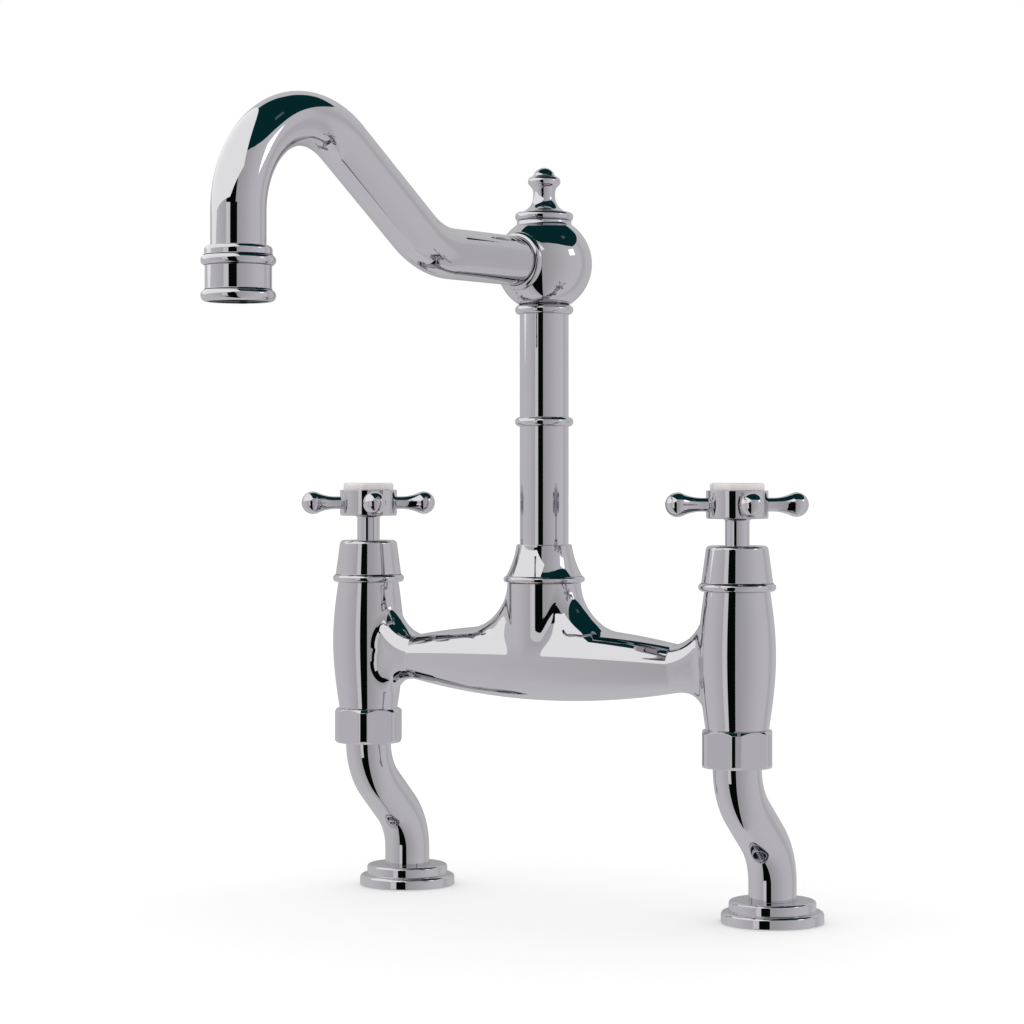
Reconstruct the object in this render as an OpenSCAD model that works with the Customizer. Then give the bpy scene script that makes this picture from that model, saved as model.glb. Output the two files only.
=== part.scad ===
// Bridge kitchen faucet: two quarter-turn valve bodies joined by a cast bridge, on cranked legs,
// with a swivelling swan spout. The origin is on the deck, midway between the two deck holes.
// +X runs from the left valve to the right one, -Y points out over the sink and +Z is up.

/* [Layout] */
// Distance between the axes of the two valve bodies
centre_distance = 203.2; // [185:0.1:230]
// How far the legs crank back from the valve axes to the deck holes
leg_setback = 29.7; // [26:0.1:36]

/* [Fits] */
// Radial gap of a part that turns in its seat
running_gap = 0.05; // [0.02:0.01:0.09]
// Gap of a fixed part in its seat or thread
seat_gap = 0.05; // [0.02:0.01:0.12]
// Radial gap around the handle neck where it leaves the bonnet
neck_gap = 0.3; // [0.2:0.05:0.5]

/* [Deck flanges] */
// Radius of the lower disc
flange_r = 22.65; // [21.5:0.05:28]
// Height of the lower disc
flange_h = 5; // [4:0.1:7]
// Rounding of the lower disc's top edge
flange_edge = 1.8; // [0.8:0.1:2.2]
// Radius of the upper disc
flange_step_r = 19.2; // [15:0.1:20]
// Height of the upper disc
flange_step_h = 4.7; // [3:0.1:7]
// Rounding of the upper disc's top edge
flange_step_edge = 1.4; // [0.5:0.1:2.2]
// Width of the rubber deck seal
seal_w = 4.5; // [2:0.1:5.5]
// Thickness of the rubber deck seal
seal_t = 1.6; // [1:0.1:2.5]

/* [Legs] */
// Outer radius of the leg tube
leg_r = 10.57; // [9.8:0.01:11.5]
// Radius of the waterway through the leg
leg_bore_r = 6.5; // [4:0.1:7.2]
// Centreline radius of both bends
leg_bend_r = 28.5; // [20:0.1:32]
// Angle that each bend turns
leg_bend_angle = 45.7; // [38:0.1:50]
// Straight length above the deck
leg_foot_h = 17.3; // [16:0.1:40]
// Radius of the tapped inlet, the minor radius of a G3/8 thread
inlet_r = 7.475; // [6:0.005:8.2]
// Depth of the tapped inlet
inlet_depth = 14; // [8:0.5:15.5]
// Height of the collar that the union nut holds
leg_collar_h = 3; // [2:0.1:4]

/* [Union nuts] */
// Width across the flats
nut_flats = 30; // [29:0.1:36]
// Height of the nut
nut_h = 16; // [14.5:0.1:22]
// Height of the inner lip under the leg collar
nut_lip_h = 2.7; // [2:0.1:3.5]
// Radius of the ring that the chamfers leave on each end face
nut_face_r = 14.9; // [14.4:0.1:15.6]
// Radius that the nut's rounded corners reach
nut_corner_r = 16.25; // [16:0.05:17.2]
// Thickness of the fibre washer
washer_t = 2; // [1:0.1:2.6]

/* [Valve bodies] */
// Height of the valve body above the union nut
barrel_h = 59.6; // [57:0.1:72]
// Widest outer radius
barrel_r = 16.65; // [16:0.05:20]
// Radius of the arc that the outline follows
barrel_arc_r = 165; // [140:1:400]
// Height of the widest place above the union nut
barrel_belly_up = 31.8; // [26:0.1:38]
// Outer radius of the threaded spigot in the union nut
spigot_r = 13.2; // [12.6:0.05:13.3]
// Radius of the water inlet up to the valve seat
valve_inlet_r = 6.4; // [4:0.1:7]
// Radius of the chamber round the cartridge
chamber_r = 9.9; // [9.6:0.1:10.3]
// Radius of the cartridge thread at the top
valve_thread_r = 10.48; // [10.4:0.01:11.2]
// Length of the cartridge thread
valve_thread_h = 12; // [8:0.5:14]

/* [Bridge] */
// Height of the bridge's axis above the union nuts
bar_up = 25.2; // [24.5:0.1:28]
// Largest radius of the bridge, at its middle
bar_r = 16.9; // [15.5:0.1:18]
// Radius of the arc along which the bridge tapers
bar_arc_r = 400; // [380:5:700]
// Radius of the bridge's ends
bar_neck_r = 10.4; // [9.5:0.1:10.9]
// Radius of the waterway along the bridge
bar_bore_r = 6; // [4:0.1:7]
// Radius of the central riser
riser_r = 16.6; // [15.8:0.1:17.5]
// Height of the riser's top above the bridge's axis
riser_h = 36.2; // [35:0.1:44]
// Radius of the blend between riser and bridge
riser_fillet_r = 27; // [22:0.5:28]
// Radius of the upper blend between bridge and valve body
upper_fillet_r = 19; // [12:0.5:20]
// Radius of the lower blend between bridge and valve body
lower_fillet_r = 12; // [8:0.5:13]

/* [Bonnets] */
// Height of the bonnet
bonnet_h = 19.7; // [18.5:0.1:26]
// Radius over the bonnet's bottom ring
bonnet_ring_r = 16.75; // [16:0.05:19]
// Height of the bottom ring
bonnet_ring_h = 3.6; // [2.5:0.1:4.5]
// Radius of the cone just above the ring
bonnet_low_r = 15.5; // [15.1:0.05:16.2]
// Radius of the cone just under the top edge
bonnet_top_r = 13.25; // [12.5:0.05:14.5]
// Rounding of the top edge
bonnet_edge = 1.9; // [0.8:0.1:2.4]
// Wall of the bonnet
bonnet_wall = 1.8; // [1:0.1:2]
// Thickness of the bonnet's top
bonnet_top_t = 2.6; // [2.3:0.1:3.5]

/* [Valve cartridges] */
// Outer radius of the brass sleeve below the thread
sleeve_r = 9.4; // [9.1:0.05:9.5]
// Radius of the ceramic discs
disc_r = 8; // [7:0.1:8.2]
// Thickness of each ceramic disc
disc_t = 2.8; // [2:0.1:3.2]
// Thickness of the lip seal on the valve seat
lip_seal_t = 1.5; // [1:0.1:2]
// Radius of the cartridge's flange under the bonnet
head_r = 13.2; // [12.8:0.1:13.3]
// Height of that flange
head_flange_h = 2; // [1.5:0.1:3]
// Width across the flats of the cartridge head
head_flats = 19; // [16:0.5:20]
// Height of the cartridge head
head_h = 6; // [4:0.5:7]
// Radius of the neck above the head
neck_r = 6.5; // [6:0.1:7.5]
// Height of the neck above the head
neck_h = 5; // [3:0.5:5.5]
// Radius of the spindle
spindle_r = 4; // [3.4:0.05:4.2]
// Radius of the rubber cord of the spindle's O-ring
spindle_ring_cord_r = 0.9; // [0.6:0.05:1]

/* [Handles] */
// Height of the neck between bonnet and hub
handle_neck_h = 11.5; // [9:0.1:18]
// Radius of that neck
handle_neck_r = 5.3; // [5.1:0.05:6.5]
// Radius of the cove where the neck meets the hub
handle_cove_r = 1.4; // [0.6:0.1:2]
// Radius of the hub
hub_r = 13.4; // [12.8:0.1:15]
// Height of the hub
hub_h = 12.2; // [11.4:0.1:15]
// Rounding of the hub's lower edge
hub_edge = 0.9; // [0.4:0.1:1.2]
// Distance from the handle's axis to the middle of each ball end
arm_reach = 26.25; // [24.5:0.05:34]
// Radius of the ball end of each arm
arm_ball_r = 5.35; // [4.6:0.05:6]
// Radius of the hollow curve between each arm's neck and its ball
arm_curve_r = 20; // [8:0.5:28]
// Thinnest radius of each arm
arm_neck_r = 3; // [2.6:0.05:3.4]
// Radius of each arm's tenon in the hub
arm_tenon_r = 2; // [1.5:0.1:2.3]
// Length of each arm's tenon in the hub
arm_tenon_h = 5; // [3:0.5:6]
// Radius of the porcelain index
index_r = 11.7; // [10.5:0.1:12.2]
// How far the index stands above the hub
index_proud = 3.3; // [2:0.1:5]
// How deep the index sits in the hub
index_seat = 2.4; // [1.5:0.1:2.6]
// Rounding of the index's top edge
index_edge = 1.3; // [0.5:0.1:1.8]
// Thickness of the web under the handle screw's head
hub_web_t = 3; // [2:0.1:3.5]
// Radius of the handle screw's shank
screw_r = 2; // [1.5:0.1:2.2]
// Radius of the handle screw's head
screw_head_r = 4; // [3:0.1:4.5]
// Height of the handle screw's head
screw_head_h = 2.6; // [2:0.1:3]

/* [Spout nut and swivel] */
// Height of the spout nut
shroud_h = 17.1; // [15.5:0.1:22]
// Radius over the spout nut's bottom ring
shroud_ring_r = 18.35; // [17.9:0.05:20]
// Height of the bottom ring
shroud_ring_h = 2.85; // [2:0.05:3.6]
// Radius of the waist just above the ring
shroud_low_r = 17.2; // [16.6:0.1:17.6]
// Radius at the top of the spout nut
shroud_top_r = 12.45; // [12:0.05:13.2]
// Radius of the hollow curve of its side
shroud_curve_r = 40; // [26:1:60]
// Height of the riser's threaded spigot inside the nut
riser_spigot_h = 4.3; // [3:0.1:5]
// Radius of the riser's threaded spigot
riser_spigot_r = 13.2; // [12.9:0.05:13.4]
// Thickness of each swivel ring
swivel_ring_t = 0.8; // [0.5:0.05:1]
// Height of the foot collar between the swivel rings
foot_collar_h = 2.2; // [1.5:0.1:3]
// Radius of the foot in its socket
foot_r = 10.6; // [10.2:0.05:10.8]
// Length of the foot in its socket
foot_depth = 24; // [18:0.5:26]
// Radius of the waterway through the foot
foot_bore_r = 7; // [5:0.1:7.4]
// Radius of the rubber cord of the foot's O-rings
foot_ring_cord_r = 1.1; // [0.8:0.05:1.3]

/* [Column] */
// Outer radius of the column tube
column_r = 11; // [10.8:0.05:11.3]
// Wall of the column and arm tubes
tube_wall = 1.5; // [1:0.1:2]
// Height of the ball's middle above the spout nut
column_rise = 126.4; // [95:0.1:200]
// Height of the middle bead above the spout nut
mid_bead_up = 55.3; // [20:0.1:70]
// Radius over the beads round the column and the arm
bead_r = 13.15; // [12.8:0.05:15]
// Height of each bead
bead_h = 4.2; // [3.6:0.1:5]

/* [Ball and finial] */
// Radius of the ball
ball_r = 21.55; // [20.5:0.05:24]
// Radius of the boss under the finial
boss_r = 12.3; // [11:0.1:12.9]
// Height of the boss's top above the ball's middle
boss_up = 19.35; // [19.1:0.05:22]
// Depth of the sockets for the column and the arm, in from the ball's surface
socket_depth = 8; // [5:0.5:8.5]
// Height of the finial
finial_h = 24.1; // [20:0.1:34]
// Radius over the finial's bottom ring
finial_ring_r = 13.1; // [12.4:0.05:15]
// Height of the finial's bottom ring
finial_ring_h = 3.7; // [2.5:0.1:4.5]
// Radius of the finial's waist
finial_waist_r = 4.95; // [4:0.05:6]
// Radius of the finial's bulge
finial_bulge_r = 7.35; // [6.5:0.05:9]
// Height of the finial's bulge
finial_bulge_h = 5; // [4:0.1:6]
// Radius of the finial's domed tip
finial_dome_r = 5.2; // [4.5:0.05:6]
// Radius of the hollow curve above the finial's ring
finial_curve_r = 7.5; // [6.5:0.1:9]
// Radius of the finial's stud
finial_stud_r = 3; // [2:0.1:4]
// Length of the finial's stud
finial_stud_h = 7; // [4:0.5:8]

/* [Spout arm] */
// Level run from the ball's middle to the first bend
arm_run = 69.8; // [50:0.1:110]
// Centreline radius of the first bend
arm_bend_r = 45.6; // [25:0.1:60]
// Angle that the first bend rises
arm_rise_angle = 34.5; // [25:0.1:40]
// Straight length between the bends
arm_slope = 57.6; // [35:0.1:110]
// Centreline radius of the arch
arch_r = 40.7; // [30:0.1:55]
// Straight drop from the arch to the end of the tube
arm_drop = 22.3; // [12:0.1:34]

/* [Outlet] */
// Radius of the outlet collar's plain band
outlet_r = 13.1; // [12.95:0.05:13.8]
// Radius over the upper ring
outlet_upper_r = 13.35; // [13:0.05:14.5]
// Height of the upper ring
outlet_upper_h = 3.65; // [2.5:0.05:4]
// Radius over the middle and bottom rings
outlet_ring_r = 14.75; // [14.2:0.05:17]
// Height of the middle ring
outlet_middle_h = 4.2; // [3:0.1:5]
// Height of the plain band
outlet_band_h = 9.3; // [7:0.1:14]
// Height of the bottom ring
outlet_bottom_h = 4.8; // [3.6:0.1:6]
// How far the arm tube reaches into the collar
outlet_grip = 9.2; // [6:0.1:10]
// Outer radius of the aerator
aerator_r = 12; // [11.6:0.05:12.2]
// Height of the aerator's housing
aerator_h = 8.8; // [7:0.1:9.2]
// Wall of the aerator's housing
aerator_wall = 1.6; // [1:0.1:2]
// Thickness of the aerator's washer
aerator_washer_t = 1.5; // [1:0.1:2]

/* [Hidden] */
$fn = 96;
overrun = 1;
lap = 1;
lap_step = 0.03;
half = centre_distance / 2;
sides = [-1, 1];
valve_y = -leg_setback;
half_turn = 180;
quarter = 90;
sixth = 60;

// Heights, each stacked on the one below
leg_middle = (leg_setback - 2 * leg_bend_r * (1 - cos(leg_bend_angle))) / sin(leg_bend_angle);
nut_z = leg_foot_h + 2 * leg_bend_r * sin(leg_bend_angle) + leg_middle * cos(leg_bend_angle);
collar_z = nut_z + nut_lip_h;
washer_z = collar_z + leg_collar_h;
spigot_z = washer_z + washer_t;
barrel_z = nut_z + nut_h;
belly_z = barrel_z + barrel_belly_up;
bonnet_z = barrel_z + barrel_h;
bonnet_top_z = bonnet_z + bonnet_h;
bar_z = barrel_z + bar_up;
riser_z = bar_z + riser_h;
riser_blend_share = 0.86;
blend_sink = 0.2;
shroud_top_z = riser_z + shroud_h;
ball_z = shroud_top_z + column_rise;

// Valve seat and cartridge, from the seat upward
seat_drop = chamber_r;
seat_z = bar_z - seat_drop;
disc_z = seat_z + lip_seal_t;
turning_disc_z = disc_z + disc_t + running_gap;
drive_z = turning_disc_z + disc_t + running_gap;
drive_h = disc_t;
drive_r = disc_r - tube_wall;
tang_w = spindle_r / 2;
port_r = disc_r / 4;
tang_h = disc_t / 2;
guide_z = drive_z + drive_h + running_gap;
window_w = disc_r;
head_top_z = bonnet_z + head_flange_h + head_h;
spindle_ring_z = head_top_z - head_h / 2;

// Handle, from the bottom of its neck upward
handle_z = bonnet_top_z - bonnet_top_t / 2;
hub_z = bonnet_top_z + handle_neck_h;
hub_top_z = hub_z + hub_h;
index_z = hub_top_z - index_seat;
arm_z = hub_z + hub_h / 2;
screw_seat_z = hub_z + hub_web_t;
screw_pocket_r = screw_head_r + neck_gap;
screw_grip_share = 0.8;
screw_h = hub_web_t + handle_neck_h * screw_grip_share;
socket_share = 0.5;
arm_angle = quarter / 2;

// Swivel, from the riser's spigot upward
swivel_z = riser_z + riser_spigot_h;
foot_collar_z = swivel_z + swivel_ring_t + running_gap;
column_z = foot_collar_z + foot_collar_h;
swivel_top_z = column_z + running_gap;
shoulder_z = swivel_top_z + swivel_ring_t + seat_gap;
foot_z = swivel_z - foot_depth;
column_bore_r = column_r - tube_wall;
foot_tenon_h = column_bore_r;
foot_ring_shares = [0.3, 0.65];

// Ball, beads and sockets
neck_reach = sqrt(ball_r * ball_r - column_r * column_r);
socket_reach = neck_reach - socket_depth;
top_bead_z = ball_z - neck_reach - bead_h / 2;
mid_bead_z = shroud_top_z + mid_bead_up;
arm_collar_reach = neck_reach + bead_h / 2;
finial_z = ball_z + boss_up;

// Spout arm and outlet
arm_start = socket_reach + seat_gap;
arch_angle = quarter + arm_rise_angle;
outlet_y = valve_y - arm_run - (arm_bend_r + arch_r) * sin(arm_rise_angle)
    - arm_slope * cos(arm_rise_angle) - arch_r;
arm_end_z = ball_z + arm_bend_r * (1 - cos(arm_rise_angle)) + arm_slope * sin(arm_rise_angle)
    - arch_r * cos(arm_rise_angle) - arm_drop;
outlet_top_z = arm_end_z + outlet_grip;
outlet_upper_z = outlet_top_z - outlet_upper_h;
outlet_middle_z = outlet_upper_z - outlet_middle_h;
outlet_bottom_z = outlet_middle_z - outlet_band_h;
outlet_z = outlet_bottom_z - outlet_bottom_h;
washer_top_z = arm_end_z - seat_gap - tube_wall;
aerator_top_z = washer_top_z - aerator_washer_t;
aerator_z = aerator_top_z - aerator_h;
aerator_lip_h = aerator_wall / 2;
hole_share = 0.11;
bulge_drop_share = 0.15;

// Radius of a valve body at a height
function barrel_r_at(z) = barrel_r - barrel_arc_r + sqrt(barrel_arc_r ^ 2 - (z - belly_z) ^ 2);

// Centre of the arc that hollows the line from p to q, on the line's outer side
function hollow_centre(p, q, r) =
    (p + q) / 2 + [p.y - q.y, q.x - p.x] * sqrt((r / norm(q - p)) ^ 2 - 1 / 4);

module chrome() {
    color("silver") children();
}

module brass() {
    color("goldenrod") children();
}

module rubber() {
    color("dimgray") children();
}

module ceramic() {
    color("ivory") children();
}

module at_valve(side) {
    translate([side * half, valve_y, 0]) children();
}

module at_column() {
    translate([0, valve_y, 0]) children();
}

module ring(outer, inner, h) {
    difference() {
        cylinder(r = outer, h = h);
        translate([0, 0, -overrun]) cylinder(r = inner, h = h + 2 * overrun);
    }
}

// Outline of a disc whose top edge is rounded
module rounded_outline(r, h, edge) {
    square([r - edge, h]);
    square([r, h - edge]);
    translate([r - edge, h - edge]) circle(edge);
}

// Outline of a ring with a half-round rim, centred on its own height
module bead_outline(outer, h) {
    translate([0, -h / 2]) square([outer - h / 2, h]);
    translate([outer - h / 2, 0]) circle(h / 2);
}

module bead(outer, inner, h) {
    difference() {
        rotate_extrude() intersection() {
            bead_outline(outer, h);
            translate([0, -h]) square([2 * outer, 2 * h]);
        }
        translate([0, 0, -h]) cylinder(r = inner, h = 2 * h);
    }
}

module o_ring(r, cord_r) {
    rotate_extrude() translate([r - cord_r, 0]) circle(cord_r);
}

// Groove for a rubber cord, cut into a shaft of radius r
module o_ring_groove(r, cord_r) {
    difference() {
        translate([0, 0, -cord_r - seat_gap]) cylinder(r = r + overrun, h = 2 * (cord_r + seat_gap));
        translate([0, 0, -2 * cord_r]) cylinder(r = r - 2 * cord_r - seat_gap, h = 4 * cord_r);
    }
}

// Solid round bar that runs along +X through a list of steps. A step is [length, 0] for a straight
// run, or [radius, angle] for a bend, with positive angles turning towards +Y. The bends are a hair
// slimmer, and the straight runs taper into them.
module follow(steps, r, i = 0) {
    if (i < len(steps)) {
        size = steps[i][0];
        angle = steps[i][1];
        if (angle == 0) {
            slim_r = r - 2 * lap_step;
            start = i > 0 ? [[0, -lap], [slim_r, -lap]] : [[0, 0]];
            finish = i < len(steps) - 1 ? [[slim_r, size + lap], [0, size + lap]] : [[0, size]];
            rotate([0, quarter, 0]) rotate_extrude()
                polygon(concat(start, [[r, 0], [r, size]], finish));
            translate([size, 0, 0]) follow(steps, r, i + 1);
        } else {
            turn = sign(angle);
            mirror([0, (1 - turn) / 2, 0]) translate([0, size, 0]) rotate([0, 0, -quarter])
                rotate_extrude(angle = abs(angle)) translate([size, 0]) circle(r - lap_step);
            translate([size * sin(abs(angle)), turn * size * (1 - cos(angle)), 0])
                rotate([0, 0, angle]) follow(steps, r, i + 1);
        }
    }
}

// Quarter bend from one axis towards another in the XZ plane, starting at an angle
module blend(x, z, hollow_r, tube_r, start) {
    translate([x, 0, z]) rotate([quarter, 0, 0]) rotate([0, 0, start])
        rotate_extrude(angle = quarter) translate([hollow_r + tube_r, 0]) circle(tube_r);
}

module barrel() {
    rotate_extrude() intersection() {
        translate([barrel_r - barrel_arc_r, belly_z]) circle(barrel_arc_r, $fn = 720);
        translate([0, barrel_z]) square([2 * barrel_r, barrel_h]);
    }
    translate([0, 0, spigot_z]) cylinder(r = spigot_r, h = barrel_z - spigot_z + overrun);
}

module bar() {
    rotate([0, quarter, 0]) rotate_extrude() {
        intersection() {
            translate([bar_r - bar_arc_r, 0]) circle(bar_arc_r, $fn = 1440);
            translate([0, -half]) square([2 * bar_r, centre_distance]);
        }
        translate([0, -half]) square([bar_neck_r, centre_distance]);
    }
}

module riser() {
    cylinder(r = riser_r, h = riser_h);
    translate([0, 0, riser_h - overrun]) cylinder(r = riser_spigot_r, h = riser_spigot_h + overrun);
}

// Casting blends on one side, between the bridge, the riser and a valve body
module blends() {
    riser_blend_r = bar_r * riser_blend_share;
    riser_blend_z = bar_z + riser_fillet_r + riser_blend_r;
    riser_blend_x = riser_r + sqrt(riser_fillet_r ^ 2 - (riser_blend_z - riser_z) ^ 2);
    upper_z = bar_z + upper_fillet_r + bar_neck_r;
    upper_x = half - barrel_r_at(upper_z) - upper_fillet_r + blend_sink;
    lower_z = bar_z - lower_fillet_r - bar_neck_r;
    lower_x = half - barrel_r_at(lower_z) - lower_fillet_r + blend_sink;
    difference() {
        blend(riser_blend_x, riser_blend_z, riser_fillet_r, riser_blend_r, half_turn);
        translate([-half, -half, riser_z]) cube([centre_distance, centre_distance, half]);
    }
    difference() {
        blend(upper_x, upper_z, upper_fillet_r, bar_neck_r, half_turn + quarter);
        translate([0, -half, bonnet_z - blend_sink]) cube([centre_distance, centre_distance, half]);
    }
    blend(lower_x, lower_z, lower_fillet_r, bar_neck_r, 0);
}

module valve_ways() {
    translate([0, 0, spigot_z - overrun])
        cylinder(r = valve_inlet_r, h = seat_z - spigot_z + 2 * overrun);
    translate([0, 0, seat_z]) cylinder(r = chamber_r, h = bonnet_z - seat_z);
    translate([0, 0, bonnet_z - valve_thread_h])
        cylinder(r = valve_thread_r, h = valve_thread_h + overrun);
}

module bridge_body() {
    chrome() at_column() difference() {
        union() {
            for (side = sides) translate([side * half, 0, 0]) barrel();
            translate([0, 0, bar_z]) bar();
            translate([0, 0, bar_z]) riser();
            blends();
            mirror([1, 0, 0]) blends();
        }
        for (side = sides) translate([side * half, 0, 0]) valve_ways();
        translate([-half, 0, bar_z]) rotate([0, quarter, 0])
            cylinder(r = bar_bore_r, h = centre_distance);
        translate([0, 0, bar_z]) cylinder(r = foot_bore_r, h = foot_z - bar_z);
        translate([0, 0, foot_z - seat_gap])
            cylinder(r = foot_r + running_gap, h = foot_depth + seat_gap + overrun);
    }
}

module union_nut(side) {
    corner_h = nut_corner_r - nut_face_r;
    chrome() at_valve(side) translate([0, 0, nut_z]) difference() {
        intersection() {
            cylinder(r = nut_flats / 2 / cos(half_turn / 6), h = nut_h, $fn = 6);
            rotate_extrude() polygon([
                [0, 0], [nut_face_r, 0], [nut_corner_r, corner_h],
                [nut_corner_r, nut_h - corner_h], [nut_face_r, nut_h], [0, nut_h]
            ]);
        }
        translate([0, 0, -overrun]) cylinder(r = leg_r + seat_gap, h = nut_h);
        translate([0, 0, nut_lip_h]) cylinder(r = spigot_r + seat_gap, h = nut_h);
    }
}

// Runs and bends of a leg from the deck up to a height above the union nut's bottom
function leg_steps(h) = [
    [leg_foot_h, 0], [leg_bend_r, leg_bend_angle], [leg_middle, 0],
    [leg_bend_r, -leg_bend_angle], [h, 0]
];

module leg(side) {
    chrome() translate([side * half, 0, 0]) difference() {
        union() {
            rotate([0, -quarter, half_turn]) follow(leg_steps(washer_z - nut_z), leg_r);
            translate([0, valve_y, collar_z]) cylinder(r = spigot_r, h = leg_collar_h);
        }
        rotate([0, -quarter, half_turn]) follow(leg_steps(washer_z - nut_z + overrun), leg_bore_r);
        translate([0, 0, -overrun]) cylinder(r = inlet_r, h = inlet_depth + overrun);
    }
}

module union_washer(side) {
    rubber() at_valve(side) translate([0, 0, washer_z])
        ring(spigot_r - seat_gap, leg_bore_r, washer_t);
}

module deck_flange(side) {
    seal_r = flange_r - 2 * flange_edge;
    chrome() translate([side * half, 0, 0]) difference() {
        rotate_extrude() {
            rounded_outline(flange_r, flange_h, flange_edge);
            translate([0, flange_h - overrun])
                rounded_outline(flange_step_r, flange_step_h + overrun, flange_step_edge);
        }
        translate([0, 0, -overrun])
            cylinder(r = leg_r + seat_gap, h = flange_h + flange_step_h + 2 * overrun);
        translate([0, 0, -overrun])
            ring(seal_r + seat_gap, seal_r - seal_w - seat_gap, seal_t + overrun);
    }
}

module deck_seal(side) {
    seal_r = flange_r - 2 * flange_edge;
    rubber() translate([side * half, 0, 0]) ring(seal_r, seal_r - seal_w, seal_t);
}

module bonnet(side) {
    ring_z = bonnet_z + bonnet_ring_h / 2;
    edge_z = bonnet_top_z - bonnet_edge;
    chrome() at_valve(side) difference() {
        rotate_extrude() {
            translate([0, ring_z]) bead_outline(bonnet_ring_r, bonnet_ring_h);
            polygon([[0, ring_z], [bonnet_low_r, ring_z], [bonnet_top_r, edge_z], [0, edge_z]]);
            translate([0, edge_z - overrun])
                rounded_outline(bonnet_top_r, bonnet_edge + overrun, bonnet_edge);
        }
        rotate_extrude() polygon([
            [0, bonnet_z - overrun], [head_r + seat_gap, bonnet_z - overrun],
            [head_r + seat_gap, bonnet_z + head_flange_h + seat_gap],
            [bonnet_top_r - bonnet_wall, bonnet_top_z - bonnet_top_t],
            [0, bonnet_top_z - bonnet_top_t]
        ]);
        translate([0, 0, bonnet_z]) cylinder(r = handle_neck_r + neck_gap, h = bonnet_h + overrun);
    }
}

module cartridge_body(side) {
    thread_r = valve_thread_r - seat_gap;
    brass() at_valve(side) difference() {
        union() {
            translate([0, 0, disc_z]) cylinder(r = sleeve_r, h = bonnet_z - disc_z);
            translate([0, 0, bonnet_z - valve_thread_h]) cylinder(r = thread_r, h = valve_thread_h);
            translate([0, 0, bonnet_z]) cylinder(r = head_r, h = head_flange_h);
            translate([0, 0, bonnet_z])
                cylinder(r = head_flats / 2 / cos(half_turn / 6), h = head_flange_h + head_h, $fn = 6);
            translate([0, 0, head_top_z - overrun]) cylinder(r = neck_r, h = neck_h + overrun);
        }
        translate([0, 0, disc_z - overrun])
            cylinder(r = disc_r + running_gap, h = guide_z - disc_z + overrun);
        translate([0, 0, disc_z]) cylinder(r = spindle_r + running_gap, h = bonnet_h + barrel_h);
        translate([-chamber_r, -window_w / 2, drive_z]) cube([2 * chamber_r, window_w, drive_h]);
    }
}

module lip_seal(side) {
    rubber() at_valve(side) translate([0, 0, seat_z]) ring(sleeve_r, valve_inlet_r, lip_seal_t);
}

// Two ports on a line at an angle, through a disc that starts at z
module ports(z, angle) {
    rotate([0, 0, angle]) for (side = sides) translate([side * disc_r / 2, 0, z - overrun])
        cylinder(r = port_r, h = disc_t + 2 * overrun);
}

module fixed_disc(side) {
    ceramic() at_valve(side) difference() {
        translate([0, 0, disc_z]) cylinder(r = disc_r, h = disc_t);
        ports(disc_z, 0);
    }
}

module turning_disc(side) {
    slot_w = tang_w + 2 * seat_gap;
    ceramic() at_valve(side) difference() {
        translate([0, 0, turning_disc_z]) cylinder(r = disc_r, h = disc_t);
        ports(turning_disc_z, quarter);
        translate([-drive_r, -slot_w / 2, drive_z - tang_h - seat_gap])
            cube([2 * drive_r, slot_w, tang_h + overrun]);
    }
}

module spindle(side) {
    tang_l = 2 * (drive_r - seat_gap);
    brass() at_valve(side) difference() {
        union() {
            translate([0, 0, drive_z]) cylinder(r = drive_r, h = drive_h);
            translate([0, 0, drive_z]) cylinder(r = spindle_r, h = hub_z - seat_gap - drive_z);
            translate([-tang_l / 2, -tang_w / 2, drive_z - tang_h])
                cube([tang_l, tang_w, tang_h + drive_h / 2]);
        }
        translate([0, 0, spindle_ring_z]) o_ring_groove(spindle_r, spindle_ring_cord_r);
        translate([0, 0, screw_seat_z - screw_h - seat_gap])
            cylinder(r = screw_r + seat_gap, h = screw_h);
    }
}

module spindle_o_ring(side) {
    rubber() at_valve(side) translate([0, 0, spindle_ring_z]) o_ring(spindle_r, spindle_ring_cord_r);
}

module handle_hub(side) {
    chrome() at_valve(side) difference() {
        rotate_extrude() {
            translate([0, handle_z]) square([handle_neck_r, hub_z - handle_z + hub_edge]);
            difference() {
                translate([0, hub_z - handle_cove_r])
                    square([handle_neck_r + handle_cove_r, handle_cove_r + hub_edge]);
                translate([handle_neck_r + handle_cove_r, hub_z - handle_cove_r]) circle(handle_cove_r);
            }
            translate([0, hub_top_z]) mirror([0, 1]) rounded_outline(hub_r, hub_h, hub_edge);
        }
        translate([0, 0, handle_z - overrun])
            cylinder(r = spindle_r + seat_gap, h = hub_z - handle_z + overrun);
        translate([0, 0, handle_z]) cylinder(r = screw_r + seat_gap, h = hub_top_z - handle_z);
        translate([0, 0, screw_seat_z]) cylinder(r = screw_pocket_r, h = hub_h);
        translate([0, 0, index_z]) cylinder(r = index_r + seat_gap, h = hub_h);
        at_arms() translate([0, 0, hub_r - arm_tenon_h - seat_gap])
            cylinder(r = arm_tenon_r + seat_gap, h = 2 * arm_tenon_h);
    }
}

// Places something that points along +Z at each of the four arms
module at_arms() {
    for (i = [0:3]) translate([0, 0, arm_z]) rotate([0, quarter, arm_angle + i * quarter])
        children();
}

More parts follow.
